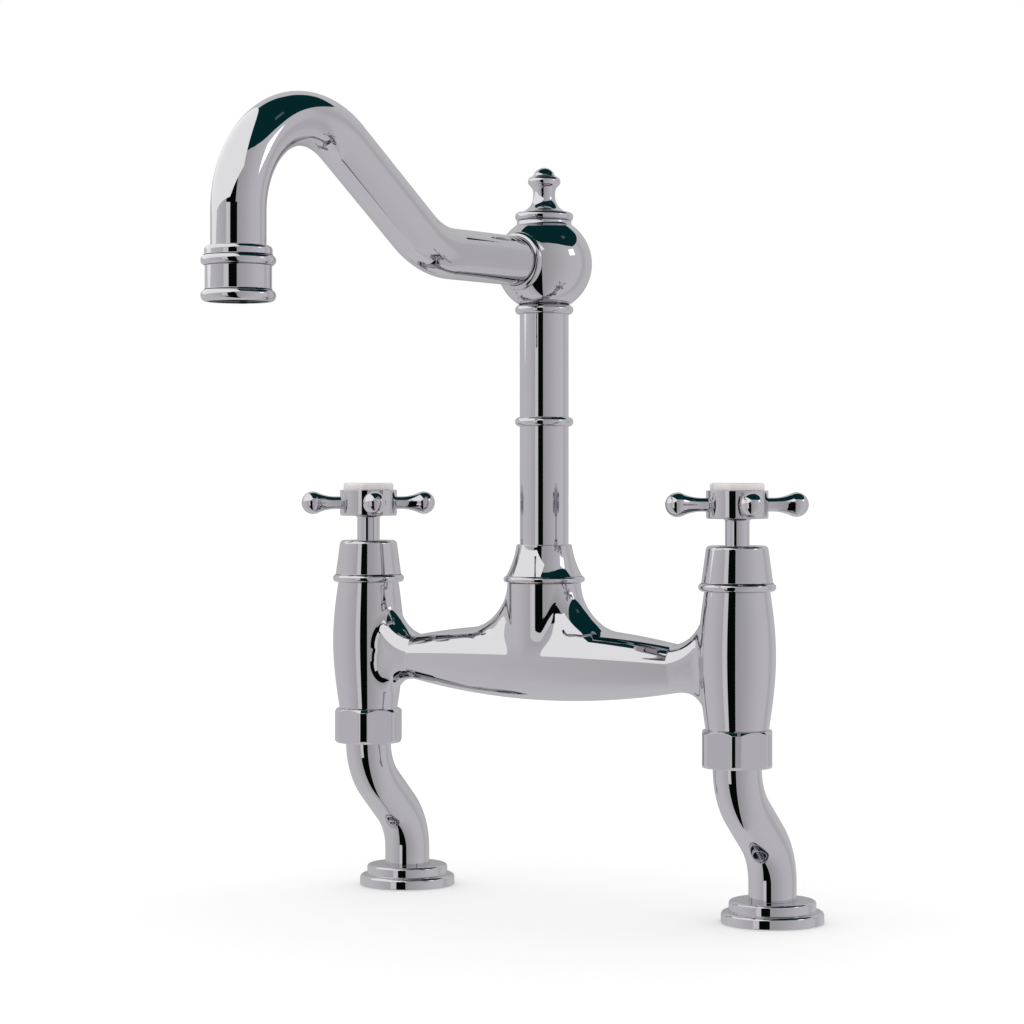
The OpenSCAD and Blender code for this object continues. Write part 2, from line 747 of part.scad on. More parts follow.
// Outline of an arm from inside the hub to the end of its ball
module arm_outline() {
    curve_x = arm_reach - sqrt((arm_curve_r + arm_ball_r) ^ 2 - (arm_neck_r + arm_curve_r) ^ 2);
    ball_share = arm_ball_r / (arm_curve_r + arm_ball_r);
    meet_x = arm_reach - (arm_reach - curve_x) * ball_share;
    meet_r = (arm_neck_r + arm_curve_r) * ball_share;
    translate([0, hub_r - arm_ball_r]) square([arm_neck_r, arm_reach - hub_r + arm_ball_r]);
    difference() {
        translate([0, curve_x]) square([meet_r, meet_x - curve_x]);
        translate([arm_neck_r + arm_curve_r, curve_x]) circle(arm_curve_r, $fn = 360);
    }
    intersection() {
        translate([0, arm_reach]) circle(arm_ball_r);
        translate([0, meet_x]) square([arm_ball_r, 2 * arm_ball_r]);
    }
}

module handle_arms(side) {
    chrome() at_valve(side) {
        difference() {
            at_arms() rotate_extrude() arm_outline();
            translate([0, 0, hub_z - hub_h]) cylinder(r = hub_r + seat_gap / 2, h = 3 * hub_h);
        }
        at_arms() translate([0, 0, hub_r - arm_tenon_h])
            cylinder(r = arm_tenon_r, h = arm_tenon_h + overrun);
    }
}

module index(side) {
    color("whitesmoke") at_valve(side) translate([0, 0, index_z])
        rotate_extrude() rounded_outline(index_r, index_seat + index_proud, index_edge);
}

module handle_screw(side) {
    brass() at_valve(side) difference() {
        union() {
            translate([0, 0, screw_seat_z]) cylinder(r = screw_head_r, h = screw_head_h);
            translate([0, 0, screw_seat_z - screw_h]) cylinder(r = screw_r, h = screw_h + screw_head_h);
        }
        translate([0, 0, screw_seat_z + screw_head_h * socket_share])
            cylinder(r = screw_head_r * socket_share, h = screw_head_h, $fn = 6);
    }
}

module spout_nut() {
    low = [shroud_low_r, riser_z + shroud_ring_h];
    high = [shroud_top_r, shroud_top_z];
    chrome() at_column() difference() {
        rotate_extrude() {
            translate([0, riser_z + shroud_ring_h / 2]) bead_outline(shroud_ring_r, shroud_ring_h);
            difference() {
                polygon([[0, low.y - overrun], [low.x, low.y - overrun], low, high, [0, high.y]]);
                translate(hollow_centre(high, low, shroud_curve_r)) circle(shroud_curve_r, $fn = 720);
            }
        }
        translate([0, 0, riser_z - overrun])
            cylinder(r = riser_spigot_r + seat_gap, h = shoulder_z - riser_z + overrun);
        translate([0, 0, riser_z]) cylinder(r = column_r + running_gap, h = shroud_h + overrun);
    }
}

module swivel_rings() {
    color("white") at_column() {
        translate([0, 0, swivel_z]) ring(riser_spigot_r, foot_r + running_gap, swivel_ring_t);
        translate([0, 0, swivel_top_z]) ring(riser_spigot_r, column_r + running_gap, swivel_ring_t);
    }
}

module column_foot() {
    brass() at_column() difference() {
        union() {
            translate([0, 0, foot_z]) cylinder(r = foot_r, h = foot_collar_z - foot_z);
            translate([0, 0, foot_collar_z]) cylinder(r = riser_spigot_r - seat_gap, h = foot_collar_h);
            translate([0, 0, column_z]) cylinder(r = column_bore_r - seat_gap, h = foot_tenon_h);
        }
        translate([0, 0, foot_z - overrun])
            cylinder(r = foot_bore_r, h = column_z - foot_z + 2 * foot_tenon_h);
        for (share = foot_ring_shares) translate([0, 0, foot_z + foot_depth * share])
            o_ring_groove(foot_r, foot_ring_cord_r);
    }
}

module foot_o_rings() {
    rubber() at_column() for (share = foot_ring_shares) translate([0, 0, foot_z + foot_depth * share])
        o_ring(foot_r, foot_ring_cord_r);
}

module spout_column() {
    chrome() at_column() translate([0, 0, column_z])
        ring(column_r, column_bore_r, ball_z - socket_reach - seat_gap - column_z);
}

module column_beads() {
    chrome() at_column() for (z = [mid_bead_z, top_bead_z]) translate([0, 0, z])
        bead(bead_r, column_r + seat_gap, bead_h);
}

module spout_ball() {
    chrome() at_column() translate([0, 0, ball_z]) difference() {
        union() {
            sphere(ball_r);
            cylinder(r = boss_r, h = boss_up);
        }
        translate([0, 0, boss_up]) cylinder(r = boss_r, h = ball_r);
        sphere(column_bore_r);
        for (turn = [0, quarter]) rotate([-turn, 0, 0]) mirror([0, 0, 1]) {
            cylinder(r = column_bore_r, h = ball_r);
            translate([0, 0, socket_reach]) cylinder(r = column_r + seat_gap, h = ball_r);
        }
        translate([0, 0, boss_up - finial_stud_h - seat_gap])
            cylinder(r = finial_stud_r + seat_gap, h = 2 * finial_stud_h);
    }
}

module finial() {
    dome_z = finial_h - finial_dome_r;
    waist_z = finial_ring_h + finial_curve_r;
    bulge_z = dome_z - finial_bulge_h * bulge_drop_share;
    chrome() at_column() translate([0, 0, finial_z]) {
        rotate_extrude() {
            translate([0, finial_ring_h / 2]) bead_outline(finial_ring_r, finial_ring_h);
            square([finial_waist_r, dome_z]);
            difference() {
                translate([0, finial_ring_h / 2])
                    square([finial_waist_r + finial_curve_r, waist_z - finial_ring_h / 2]);
                translate([finial_waist_r + finial_curve_r, waist_z]) circle(finial_curve_r);
            }
            translate([0, bulge_z]) bead_outline(finial_bulge_r, finial_bulge_h);
            intersection() {
                translate([0, dome_z]) circle(finial_dome_r);
                translate([0, dome_z - finial_dome_r]) square(2 * finial_dome_r);
            }
        }
        translate([0, 0, -finial_stud_h]) cylinder(r = finial_stud_r, h = finial_stud_h + overrun);
    }
}

module arm_collar() {
    chrome() translate([0, valve_y - arm_collar_reach, ball_z]) rotate([quarter, 0, 0])
        bead(bead_r, column_r + seat_gap, bead_h);
}

// Runs and bends of the spout arm, longer by extra at both ends
function arm_steps(extra) = [
    [arm_run - arm_start + extra, 0], [arm_bend_r, arm_rise_angle], [arm_slope, 0],
    [arch_r, -arch_angle], [arm_drop + extra, 0]
];

module spout_arm() {
    chrome() translate([0, valve_y, ball_z]) rotate([quarter, 0, -quarter]) difference() {
        translate([arm_start, 0, 0]) follow(arm_steps(0), column_r);
        translate([arm_start - overrun, 0, 0]) follow(arm_steps(overrun), column_bore_r);
    }
}

module outlet_collar() {
    chrome() translate([0, outlet_y, 0]) difference() {
        rotate_extrude() {
            translate([0, outlet_upper_z + outlet_upper_h / 2])
                bead_outline(outlet_upper_r, outlet_upper_h);
            translate([0, outlet_middle_z + outlet_middle_h / 2])
                bead_outline(outlet_ring_r, outlet_middle_h);
            translate([0, outlet_z + outlet_bottom_h / 2])
                square([outlet_r, outlet_band_h + outlet_bottom_h]);
            translate([0, outlet_z + outlet_bottom_h / 2])
                bead_outline(outlet_ring_r, outlet_bottom_h);
        }
        translate([0, 0, arm_end_z - seat_gap])
            cylinder(r = column_r + seat_gap, h = outlet_top_z - outlet_z);
        translate([0, 0, outlet_z]) cylinder(r = column_bore_r, h = outlet_top_z - outlet_z);
        translate([0, 0, outlet_z - overrun])
            cylinder(r = aerator_r + seat_gap, h = washer_top_z - outlet_z + overrun);
    }
}

module aerator_housing() {
    inner_r = aerator_r - aerator_wall;
    brass() translate([0, outlet_y, aerator_z]) {
        ring(aerator_r, inner_r, aerator_h);
        ring(aerator_r, inner_r - aerator_wall, aerator_lip_h);
    }
}

module aerator_insert() {
    insert_r = aerator_r - aerator_wall - seat_gap;
    hole_r = insert_r * hole_share;
    rows = 2;
    color("lightgray") translate([0, outlet_y, aerator_z + aerator_lip_h]) difference() {
        cylinder(r = insert_r, h = aerator_h - aerator_lip_h);
        translate([0, 0, -overrun]) cylinder(r = hole_r, h = aerator_h + overrun);
        for (row = [1:rows], i = [0:6 * row - 1]) rotate([0, 0, i * sixth / row])
            translate([row * insert_r / (rows + 1), 0, -overrun])
                cylinder(r = hole_r, h = aerator_h + overrun);
    }
}

module aerator_washer() {
    rubber() translate([0, outlet_y, aerator_top_z]) ring(aerator_r, column_bore_r, aerator_washer_t);
}

bridge_body();
union_nut(-1);  // left_union_nut
union_nut(1);  // right_union_nut
leg(-1);  // left_leg
leg(1);  // right_leg
union_washer(-1);  // left_union_washer
union_washer(1);  // right_union_washer
deck_flange(-1);  // left_deck_flange
deck_flange(1);  // right_deck_flange
deck_seal(-1);  // left_deck_seal
deck_seal(1);  // right_deck_seal
bonnet(-1);  // left_bonnet
bonnet(1);  // right_bonnet
cartridge_body(-1);  // left_cartridge_body
cartridge_body(1);  // right_cartridge_body
lip_seal(-1);  // left_lip_seal
lip_seal(1);  // right_lip_seal
fixed_disc(-1);  // left_fixed_disc
fixed_disc(1);  // right_fixed_disc
spout_nut();
swivel_rings();
column_foot();
foot_o_rings();
spout_column();
column_beads();
spout_ball();
finial();
arm_collar();
spout_arm();
outlet_collar();
aerator_housing();
aerator_insert();
aerator_washer();
spindle(-1);  // left_spindle
spindle(1);  // right_spindle
turning_disc(-1);  // left_turning_disc
turning_disc(1);  // right_turning_disc
spindle_o_ring(-1);  // left_spindle_o_ring
spindle_o_ring(1);  // right_spindle_o_ring
handle_hub(-1);  // left_handle_hub
handle_hub(1);  // right_handle_hub
handle_arms(-1);  // left_handle_arms
handle_arms(1);  // right_handle_arms
index(-1);  // left_index
index(1);  // right_index
handle_screw(-1);  // left_handle_screw
handle_screw(1);  // right_handle_screw
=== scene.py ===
"""Looks of a bridge kitchen faucet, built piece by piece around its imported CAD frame."""

import math

import bmesh
import bpy
import numpy as np
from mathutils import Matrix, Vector


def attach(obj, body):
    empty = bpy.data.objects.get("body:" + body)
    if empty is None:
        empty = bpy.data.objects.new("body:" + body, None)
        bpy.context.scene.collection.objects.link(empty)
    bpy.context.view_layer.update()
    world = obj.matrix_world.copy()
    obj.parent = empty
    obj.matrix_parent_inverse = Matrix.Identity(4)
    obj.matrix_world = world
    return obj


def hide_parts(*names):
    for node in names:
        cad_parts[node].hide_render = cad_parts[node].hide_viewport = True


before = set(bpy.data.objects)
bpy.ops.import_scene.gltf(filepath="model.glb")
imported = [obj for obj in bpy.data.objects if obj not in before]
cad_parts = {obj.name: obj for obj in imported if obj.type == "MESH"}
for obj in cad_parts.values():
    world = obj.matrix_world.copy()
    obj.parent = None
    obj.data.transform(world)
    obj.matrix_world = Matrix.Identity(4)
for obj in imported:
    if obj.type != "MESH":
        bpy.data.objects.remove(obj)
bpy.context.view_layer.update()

# Camera: level, 1.28 m from the faucet and 193 mm above the worktop. Its bearing, lens and shift
# are the photograph's, worked out from the faucet's own straight lines.
MM = 0.001
FRAME_PIXELS = 1024
SENSOR_MM = 36
focal_pixels = 2778.87
centre_pixels = (535.6, 482.61)
camera_bearing = math.radians(35.424)
camera_place_mm = (723.28, -1053.23, 192.68)

camera_data = bpy.data.cameras.new("camera")
camera_data.sensor_width = SENSOR_MM
camera_data.lens = SENSOR_MM * focal_pixels / FRAME_PIXELS
camera_data.shift_x = (FRAME_PIXELS / 2 - centre_pixels[0]) / FRAME_PIXELS
camera_data.shift_y = (centre_pixels[1] - FRAME_PIXELS / 2) / FRAME_PIXELS
camera_data.clip_end = 100
camera = bpy.data.objects.new("camera", camera_data)
camera.location = Vector(camera_place_mm) * MM
camera.rotation_euler = (math.radians(90), 0, camera_bearing)
bpy.context.scene.collection.objects.link(camera)
bpy.context.scene.camera = camera


# Deck seals: two rings of black rubber moulded to 1.6 mm, let into grooves under the flanges so
# that no water gets below the worktop's edge. They stay as the CAD made them. Moulded rubber is
# matt, with a fine bloom.
def linear(hex_colour):
    """An sRGB hex colour as linear RGBA."""
    channels = [int(hex_colour[i : i + 2], 16) / 255 for i in (0, 2, 4)]
    return tuple(
        c / 12.92 if c <= 0.04045 else ((c + 0.055) / 1.055) ** 2.4 for c in channels
    ) + (1.0,)


def add_node(tree, kind, inputs=None, **settings):
    """Adds a node with its settings and its inputs, each by name or number. An input is a value
    or another node's output socket."""
    node = tree.nodes.new(kind)
    for key, value in settings.items():
        setattr(node, key, value)
    for socket, value in (inputs or {}).items():
        if isinstance(value, bpy.types.NodeSocket):
            tree.links.new(value, node.inputs[socket])
        else:
            node.inputs[socket].default_value = value
    return node


def new_material(name, **shader_inputs):
    """A material with its own shader, and the tree, shader and place on the piece to work with."""
    material = bpy.data.materials.new(name)
    material.use_nodes = True
    tree = material.node_tree
    shader = tree.nodes["Principled BSDF"]
    for socket, value in shader_inputs.items():
        shader.inputs[socket.replace("_", " ")].default_value = value
    place = add_node(tree, "ShaderNodeTexCoord").outputs["Object"]
    return material, tree, shader, place


def grains_per_metre(size_mm):
    """Noise scale that gives lumps of about this size."""
    return 1 / (size_mm * MM)


def vary(tree, shader, place, size_mm, colours, roughness, bump_mm=0, detail=3):
    """Drives a finish from one noise of a real size: two colours, two roughnesses and relief."""
    noise = add_node(
        tree, "ShaderNodeTexNoise",
        {"Vector": place, "Scale": grains_per_metre(size_mm), "Detail": detail},
    ).outputs["Fac"]
    first, second = map(linear, colours)
    mix = add_node(
        tree, "ShaderNodeMix", {"Factor": noise, 6: first, 7: second}, data_type="RGBA"
    )
    tree.links.new(mix.outputs[2], shader.inputs["Base Color"])
    span = add_node(
        tree, "ShaderNodeMapRange",
        {"Value": noise, "To Min": roughness[0], "To Max": roughness[1]},
    )
    tree.links.new(span.outputs["Result"], shader.inputs["Roughness"])
    if bump_mm:
        relief = add_node(
            tree, "ShaderNodeBump", {"Height": noise, "Distance": bump_mm * MM, "Strength": 1.0}
        )
        tree.links.new(relief.outputs["Normal"], shader.inputs["Normal"])


rubber, tree, shader, place = new_material("moulded_rubber", IOR=1.52)
vary(tree, shader, place, 0.8, ("15151a", "202024"), (0.55, 0.75), 0.01)


def finish_cad(node, material):
    """Gives a CAD node that shows as it is its material."""
    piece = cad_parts[node]
    piece.data.materials.clear()
    piece.data.materials.append(material)


SIDES = {"left": -1, "right": 1}
for side in SIDES:
    finish_cad(f"{side}_deck_seal", rubber)

# Deck flanges: turned from brass bar, polished and chrome plated. Each is a wide disc with a
# smaller one on top, both with rounded edges, and it slides over its leg down to the worktop.
# Chrome plate is a mirror with a faint cool tint. All that breaks it up is a trace of buffing.
HALF_SPREAD = 101.6
VALVE_Y = -29.7
FLANGE_RADIUS, FLANGE_TOP, STEP_RADIUS, STEP_TOP, FLANGE_BORE = 22.65, 5, 19.2, 9.7, 10.62
SEAL_IN, SEAL_OUT, SEAL_DEPTH = 14.5, 19.1, 1.6
ARC_STEP, ON_AXIS, DECIMALS_KEPT = math.radians(9), 1e-6, 6


def rounded_outline(corners, closed=True):
    """Points and outward normals of an outline in radius and height, from (radius, height,
    rounding) corners with the metal on the left. An open outline starts and ends on the axis."""
    flat = [np.array(c[:2], float) for c in corners]
    count = len(flat)
    points, normals = [], []
    for i, (radius, height, rounding) in enumerate(corners):
        ends = not closed and i in (0, count - 1)
        before = flat[i] - flat[i - 1] if not (ends and i == 0) else flat[1] - flat[0]
        after = flat[(i + 1) % count] - flat[i] if not (ends and i) else before
        before, after = before / np.linalg.norm(before), after / np.linalg.norm(after)
        turn = math.atan2(before[0] * after[1] - before[1] * after[0], before @ after)
        if rounding and abs(turn) > 1e-3:
            reach = rounding * math.tan(abs(turn) / 2)
            side = math.copysign(1, turn)
            start = flat[i] - before * reach
            middle = start + side * rounding * np.array([-before[1], before[0]])
            steps = max(2, math.ceil(abs(turn) / ARC_STEP))
            for step in range(steps + 1):
                a = turn * step / steps
                spin = np.array([[math.cos(a), -math.sin(a)], [math.sin(a), math.cos(a)]])
                points.append(middle + spin @ (start - middle))
                normals.append(spin @ np.array([before[1], -before[0]]))
        else:
            both = before + after
            points.append(flat[i])
            normals.append(np.array([both[1], -both[0]]) / np.linalg.norm(both))
    return np.array(points), np.array(normals)


def upright(x, y, z=0):
    """A straight axis that stands at a place, as a function of the length along it."""
    def at(lengths):
        count = len(lengths)
        centres = np.column_stack([np.full(count, x), np.full(count, y), z + lengths])
        return (centres, np.tile([0.0, 0, 1], (count, 1)), np.tile([1.0, 0, 0], (count, 1)),
                np.tile([0.0, 1, 0], (count, 1)))
    return at


def level(x, y, z, bearing):
    """A straight level axis from a place, at an angle from +X."""
    along = np.array([math.cos(bearing), math.sin(bearing), 0])
    across = np.array([-along[1], along[0], 0])
    def at(lengths):
        count = len(lengths)
        centres = np.array([x, y, z]) + np.outer(lengths, along)
        return (centres, np.tile(along, (count, 1)), np.tile(across, (count, 1)),
                np.tile([0.0, 0, 1], (count, 1)))
    return at


def turned_shell(outline, axis, closed=True, around=160):
    """Points, faces and normals, in mm, of an outline turned about an axis."""
    points, normals = outline
    angles = np.arange(around) * 2 * math.pi / around
    centres, along, first, second = axis(points[:, 1])
    ahead, aside = np.cos(angles)[None, :, None], np.sin(angles)[None, :, None]
    out = ahead * first[:, None] + aside * second[:, None]
    radius = np.repeat(points[:, :1], around, 1)
    spots = centres[:, None] + radius[..., None] * out
    facing = normals[:, :1, None] * out + normals[:, 1:, None] * along[:, None]
    rows, index = len(points), np.arange(len(points) * around).reshape(len(points), around)
    faces = []
    last = rows if closed else rows - 1
    for i in range(last):
        a, b = index[i], index[(i + 1) % rows]
        low, high = points[i][0] < ON_AXIS, points[(i + 1) % rows][0] < ON_AXIS
        if low and high:
            continue
        a2, b2 = np.roll(a, -1), np.roll(b, -1)
        if low:
            faces += [(a[0], int(q), int(p)) for p, q in zip(b, b2)]
        elif high:
            faces += [(int(p), int(q), b[0]) for p, q in zip(a, a2)]
        else:
            faces += list(zip(a.tolist(), a2.tolist(), b2.tolist(), b.tolist()))
    return spots.reshape(-1, 3), faces, facing.reshape(-1, 3)


def make_piece(name, shells, material):
    """One object from shells of (points in mm, faces, normals), shaded by those normals."""
    points, faces, normals, offset = [], [], [], 0
    for spots, shell_faces, facing in shells:
        points.append(spots)
        normals.append(facing)
        faces += [tuple(int(i) + offset for i in f) for f in shell_faces]
        offset += len(spots)
    points, normals = np.round(np.concatenate(points), DECIMALS_KEPT) * MM, np.concatenate(normals)
    used = np.unique(np.concatenate([np.array(f) for f in faces]))
    renumber = np.full(len(points), -1)
    renumber[used] = np.arange(len(used))
    mesh = bpy.data.meshes.new(name)
    mesh.from_pydata(points[used].tolist(), [], [tuple(renumber[list(f)].tolist()) for f in faces])
    mesh.update()
    mesh.shade_smooth()
    normals = normals[used]
    normals /= np.linalg.norm(normals, axis=1)[:, None]
    mesh.normals_split_custom_set_from_vertices(normals.tolist())
    mesh.materials.append(material)
    piece = bpy.data.objects.new(name, mesh)
    bpy.context.scene.collection.objects.link(piece)
    return piece


chrome, tree, shader, place = new_material("polished_chrome_plate", Metallic=1.0)
vary(tree, shader, place, 40, ("c5c2c8", "c2c0c6"), (0.015, 0.03), detail=2)

flange_corners = [
    (FLANGE_BORE, 0, 0.2), (SEAL_IN, 0, 0.1), (SEAL_IN, SEAL_DEPTH, 0.1),
    (SEAL_OUT, SEAL_DEPTH, 0.1), (SEAL_OUT, 0, 0.1), (FLANGE_RADIUS, 0, 0.3),
    (FLANGE_RADIUS, FLANGE_TOP, 1.8), (STEP_RADIUS, FLANGE_TOP, 0.25),
    (STEP_RADIUS, STEP_TOP, 1.4), (FLANGE_BORE, STEP_TOP, 0.4),
]
for side, sign in SIDES.items():
    shell = turned_shell(rounded_outline(flange_corners), upright(sign * HALF_SPREAD, 0))
    flange = make_piece(f"{side}_flange", [shell], chrome)
    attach(flange, "body")
    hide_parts(f"{side}_deck_flange")

# Legs: 21 mm brass tube bent twice on a mandrel, so that the valves stand forward of the deck
# holes, then polished and plated. The foot is tapped G3/8 and a collar is brazed on at the top.
LEG_RADIUS, LEG_BORE, LEG_BEND, LEG_ANGLE = 10.57, 6.5, 28.5, math.radians(45.7)
LEG_FOOT, LEG_RISE, LEG_END = 17.3, 17.479, 5.7
COLLAR_RADIUS, COLLAR_HEIGHT, WASHER_Z = 13.2, 3, 76.002
# The inlet's thread: radii, pitch, turns, the start of the first one, a flank's share of the
# pitch, and the tapping's depth.
thread_minor, thread_major, thread_pitch, thread_turns = 7.475, 8.33, 1.337, 10
thread_start, thread_flank, tapping_depth = 0.9, 0.43, 15.2


def left_of(angle):
    """The direction a quarter turn to the left of one that an angle gives."""
    return np.array([-math.sin(angle), math.cos(angle)])


def bent_axis(start, heading, runs, into, up, side):
    """An axis of straight runs (length, 0) and bends (radius, angle) in one plane. heading is the
    angle from the plane's direction into, towards up, and side is square to the plane."""
    stations, total = [], 0.0
    place, angle = np.array([0.0, 0.0]), heading
    for size, turn in runs:
        stations.append((total, place.copy(), angle, size, turn))
        if turn:
            middle = place + math.copysign(size, turn) * left_of(angle)
            spoke = place - middle
            spin = np.array([[math.cos(turn), -math.sin(turn)], [math.sin(turn), math.cos(turn)]])
            place, angle, total = middle + spin @ spoke, angle + turn, total + size * abs(turn)
        else:
            place = place + size * np.array([math.cos(angle), math.sin(angle)])
            total += size
    start, into, up, side = (np.array(v, float) for v in (start, into, up, side))

    def at(lengths):
        flat, heads = [], []
        for s in lengths:
            passed = [st for st in stations if st[0] <= s + 1e-9 or st is stations[0]]
            begin, spot, head, size, turn = passed[-1]
            rest = s - begin
            if turn:
                head_now = head + math.copysign(rest / size, turn)
                radius = math.copysign(size, turn)
                flat.append(spot + radius * left_of(head) - radius * left_of(head_now))
            else:
                head_now = head
                flat.append(spot + rest * np.array([math.cos(head), math.sin(head)]))
            heads.append(head_now)
        flat, heads = np.array(flat), np.array(heads)
        centres = start + np.outer(flat[:, 0], into) + np.outer(flat[:, 1], up)
        along = np.outer(np.cos(heads), into) + np.outer(np.sin(heads), up)
        return centres, along, np.tile(side, (len(flat), 1)), np.cross(along, side)
    return at, total


def close_up(outline, spacing):
    """The same outline with more points wherever two are further apart than the spacing."""
    points, normals = outline
    new_points, new_normals = [], []
    for i in range(len(points)):
        j = (i + 1) % len(points)
        parts = max(1, math.ceil(np.linalg.norm(points[j] - points[i]) / spacing))
        for k in range(parts):
            t = k / parts
            new_points.append(points[i] * (1 - t) + points[j] * t)
            new_normals.append(normals[i] * (1 - t) + normals[j] * t)
    return np.array(new_points), np.array(new_normals)


leg_runs = [
    (LEG_FOOT, 0), (LEG_BEND, LEG_ANGLE), (LEG_RISE, 0), (LEG_BEND, -LEG_ANGLE), (LEG_END, 0),
]
for side, sign in SIDES.items():
    path, length = bent_axis(
        (sign * HALF_SPREAD, 0, 0), math.pi / 2, leg_runs, (0, 1, 0), (0, 0, 1), (1, 0, 0)
    )
    leg_corners = [
        (thread_minor, 0, 0.2), (LEG_RADIUS, 0, 0.3), (LEG_RADIUS, length, 0.3),
        (LEG_BORE, length, 0.3), (LEG_BORE, tapping_depth, 0.3),
    ]
    for i in reversed(range(thread_turns)):
        low = thread_start + i * thread_pitch
        leg_corners += [(thread_minor, low + (0.5 + thread_flank) * thread_pitch, 0.05),
                        (thread_major, low + thread_pitch / 2, 0.05),
                        (thread_minor, low + (0.5 - thread_flank) * thread_pitch, 0.05)]
    tube = turned_shell(close_up(rounded_outline(leg_corners), spacing=1.2), path, around=128)
    collar_bore = LEG_RADIUS - 0.5
    collar_corners = [
        (collar_bore, -COLLAR_HEIGHT, 0.1), (COLLAR_RADIUS, -COLLAR_HEIGHT, 0.2),
        (COLLAR_RADIUS, 0, 0.2), (collar_bore, 0, 0.1),
    ]
    collar = turned_shell(
        rounded_outline(collar_corners), upright(sign * HALF_SPREAD, VALVE_Y, WASHER_Z), around=96
    )
    leg = make_piece(f"{side}_bent_leg", [tube, collar], chrome)
    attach(leg, "body")
    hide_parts(f"{side}_leg")

# Union washers: flat rings punched from red fibre sheet, pinched between the leg's collar and the
# valve body. Fibre is matt and slightly mottled, and only its edge could ever show.
fibre, tree, shader, place = new_material("punched_red_fibre", IOR=1.5)
vary(tree, shader, place, 1.2, ("5a2018", "6e2c20"), (0.6, 0.8), 0.01)
for side in SIDES:
    finish_cad(f"{side}_union_washer", fibre)

# Union nuts: milled from hexagon brass bar, 30 mm across the flats, with the six corners turned
# down and both ends chamfered at 45 degrees, then polished and plated. They clamp the legs to
# the valve bodies. The chamfers cut a shallow scallop into each flat.
NUT_Z, NUT_HEIGHT, NUT_FLAT, NUT_CORNER, NUT_FACE = 70.302, 16.0, 15.0, 16.25, 14.9
NUT_BLEND, NUT_THREAD, NUT_FLOOR, NUT_BORE = 0.16, 13.25, 2.7, LEG_RADIUS + 0.05
CHAMFER_STEPS = 10
SIXTH = math.pi / 3


def flatten_to_hexagon(shell, x, y):
    """Presses a round shell back to the six flats of a nut, with slightly softened edges."""
    spots, faces, facing = shell
    offset = spots - np.array([x, y, 0])
    radius = np.hypot(offset[:, 0], offset[:, 1])
    angle = np.arctan2(offset[:, 1], offset[:, 0])
    middle = np.round((angle - SIXTH / 2) / SIXTH) * SIXTH + SIXTH / 2
    flat_radius = NUT_FLAT / np.cos(angle - middle)
    share = np.clip(0.5 + 0.5 * (flat_radius - radius) / NUT_BLEND, 0, 1)
    pressed = flat_radius * (1 - share) + radius * share - NUT_BLEND * share * (1 - share)
    flat_facing = np.column_stack([np.cos(middle), np.sin(middle), np.zeros(len(middle))])
    facing = flat_facing * (1 - share[:, None]) + facing * share[:, None]
    offset[:, :2] *= (pressed / radius)[:, None]
    return offset + np.array([x, y, 0]), faces, facing


chamfer = NUT_CORNER - NUT_FACE
steps = [chamfer * k / CHAMFER_STEPS for k in range(1, CHAMFER_STEPS)]
nut_corners = [
    (NUT_BORE, 0, 0.3), (NUT_FACE, 0, 0.15), *((NUT_FACE + step, step, 0) for step in steps),
    (NUT_CORNER, chamfer, 0.3), (NUT_CORNER, NUT_HEIGHT / 2, 0),
    (NUT_CORNER, NUT_HEIGHT - chamfer, 0.3),
    *((NUT_CORNER - step, NUT_HEIGHT - chamfer + step, 0) for step in steps),
    (NUT_FACE, NUT_HEIGHT, 0.15), (NUT_THREAD, NUT_HEIGHT, 0.2), (NUT_THREAD, NUT_FLOOR, 0.2),
    (NUT_BORE, NUT_FLOOR, 0.2),
]
for side, sign in SIDES.items():
    x = sign * HALF_SPREAD
    shell = turned_shell(rounded_outline(nut_corners), upright(x, VALVE_Y, NUT_Z), around=360)
    nut = make_piece(f"{side}_hexagon_nut", [flatten_to_hexagon(shell, x, VALVE_Y)], chrome)
    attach(nut, "body")
    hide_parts(f"{side}_union_nut")

# Bridge body: one sand casting in brass, with two barrel-shaped valve bodies, a bar that swells
# to its middle and a riser for the spout. Round bends lead from the bar up the riser and into the
# valve bodies. All of it is ground, polished by hand and plated, so each joining line is soft.
BARREL_Z, BONNET_Z, BAR_Z, RISER_TOP, BELLY_Z = 86.302, 145.902, 111.502, 147.702, 118.102
BARREL_RADIUS, BAR_RADIUS, BAR_TAPER, BAR_END, RISER_RADIUS = 16.65, 16.9, 800.0, 10.35, 16.6
# The hollow beside the riser is wide at the sides and narrow in front, where the riser runs down
# straight. Radii in mm, and the bearings off the front between which it widens.
FRONT_HOLLOW, SIDE_HOLLOW, HOLLOW_BEARINGS = 15.0, 25.0, (30.0, 60.0)
# Bends up the riser and up and down the valve bodies: middle from the riser, middle above the
# bar, sweep of the centreline, tube radius, and whether it turns outward and upward.
BENDS = (
    (43.07, 41.53, 39.0, 12.0, -1, 1), (67.7, 29.4, 29.4, 10.4, 1, 1),
    (75.75, -22.4, 22.4, 10.4, 1, -1),
)
BEND_SOFTENING, VALVE_SOFTENING = 2.0, 7.0
# The barrels' outline falls off with the square of the height from the belly, and less and less.
GIRTH_FALL, GIRTH_RELIEF = 0.0037, 0.00018
# The box and step of the skin's first coarse quads. Past CLEAR_OF_RISER there are only the valves.
CLEAR_OF_RISER = 60
SKIN_LOW, SKIN_HIGH, SKIN_STEP = (-122.0, -21.5, 83.5), (122.0, 21.5, 151.5), 1.7


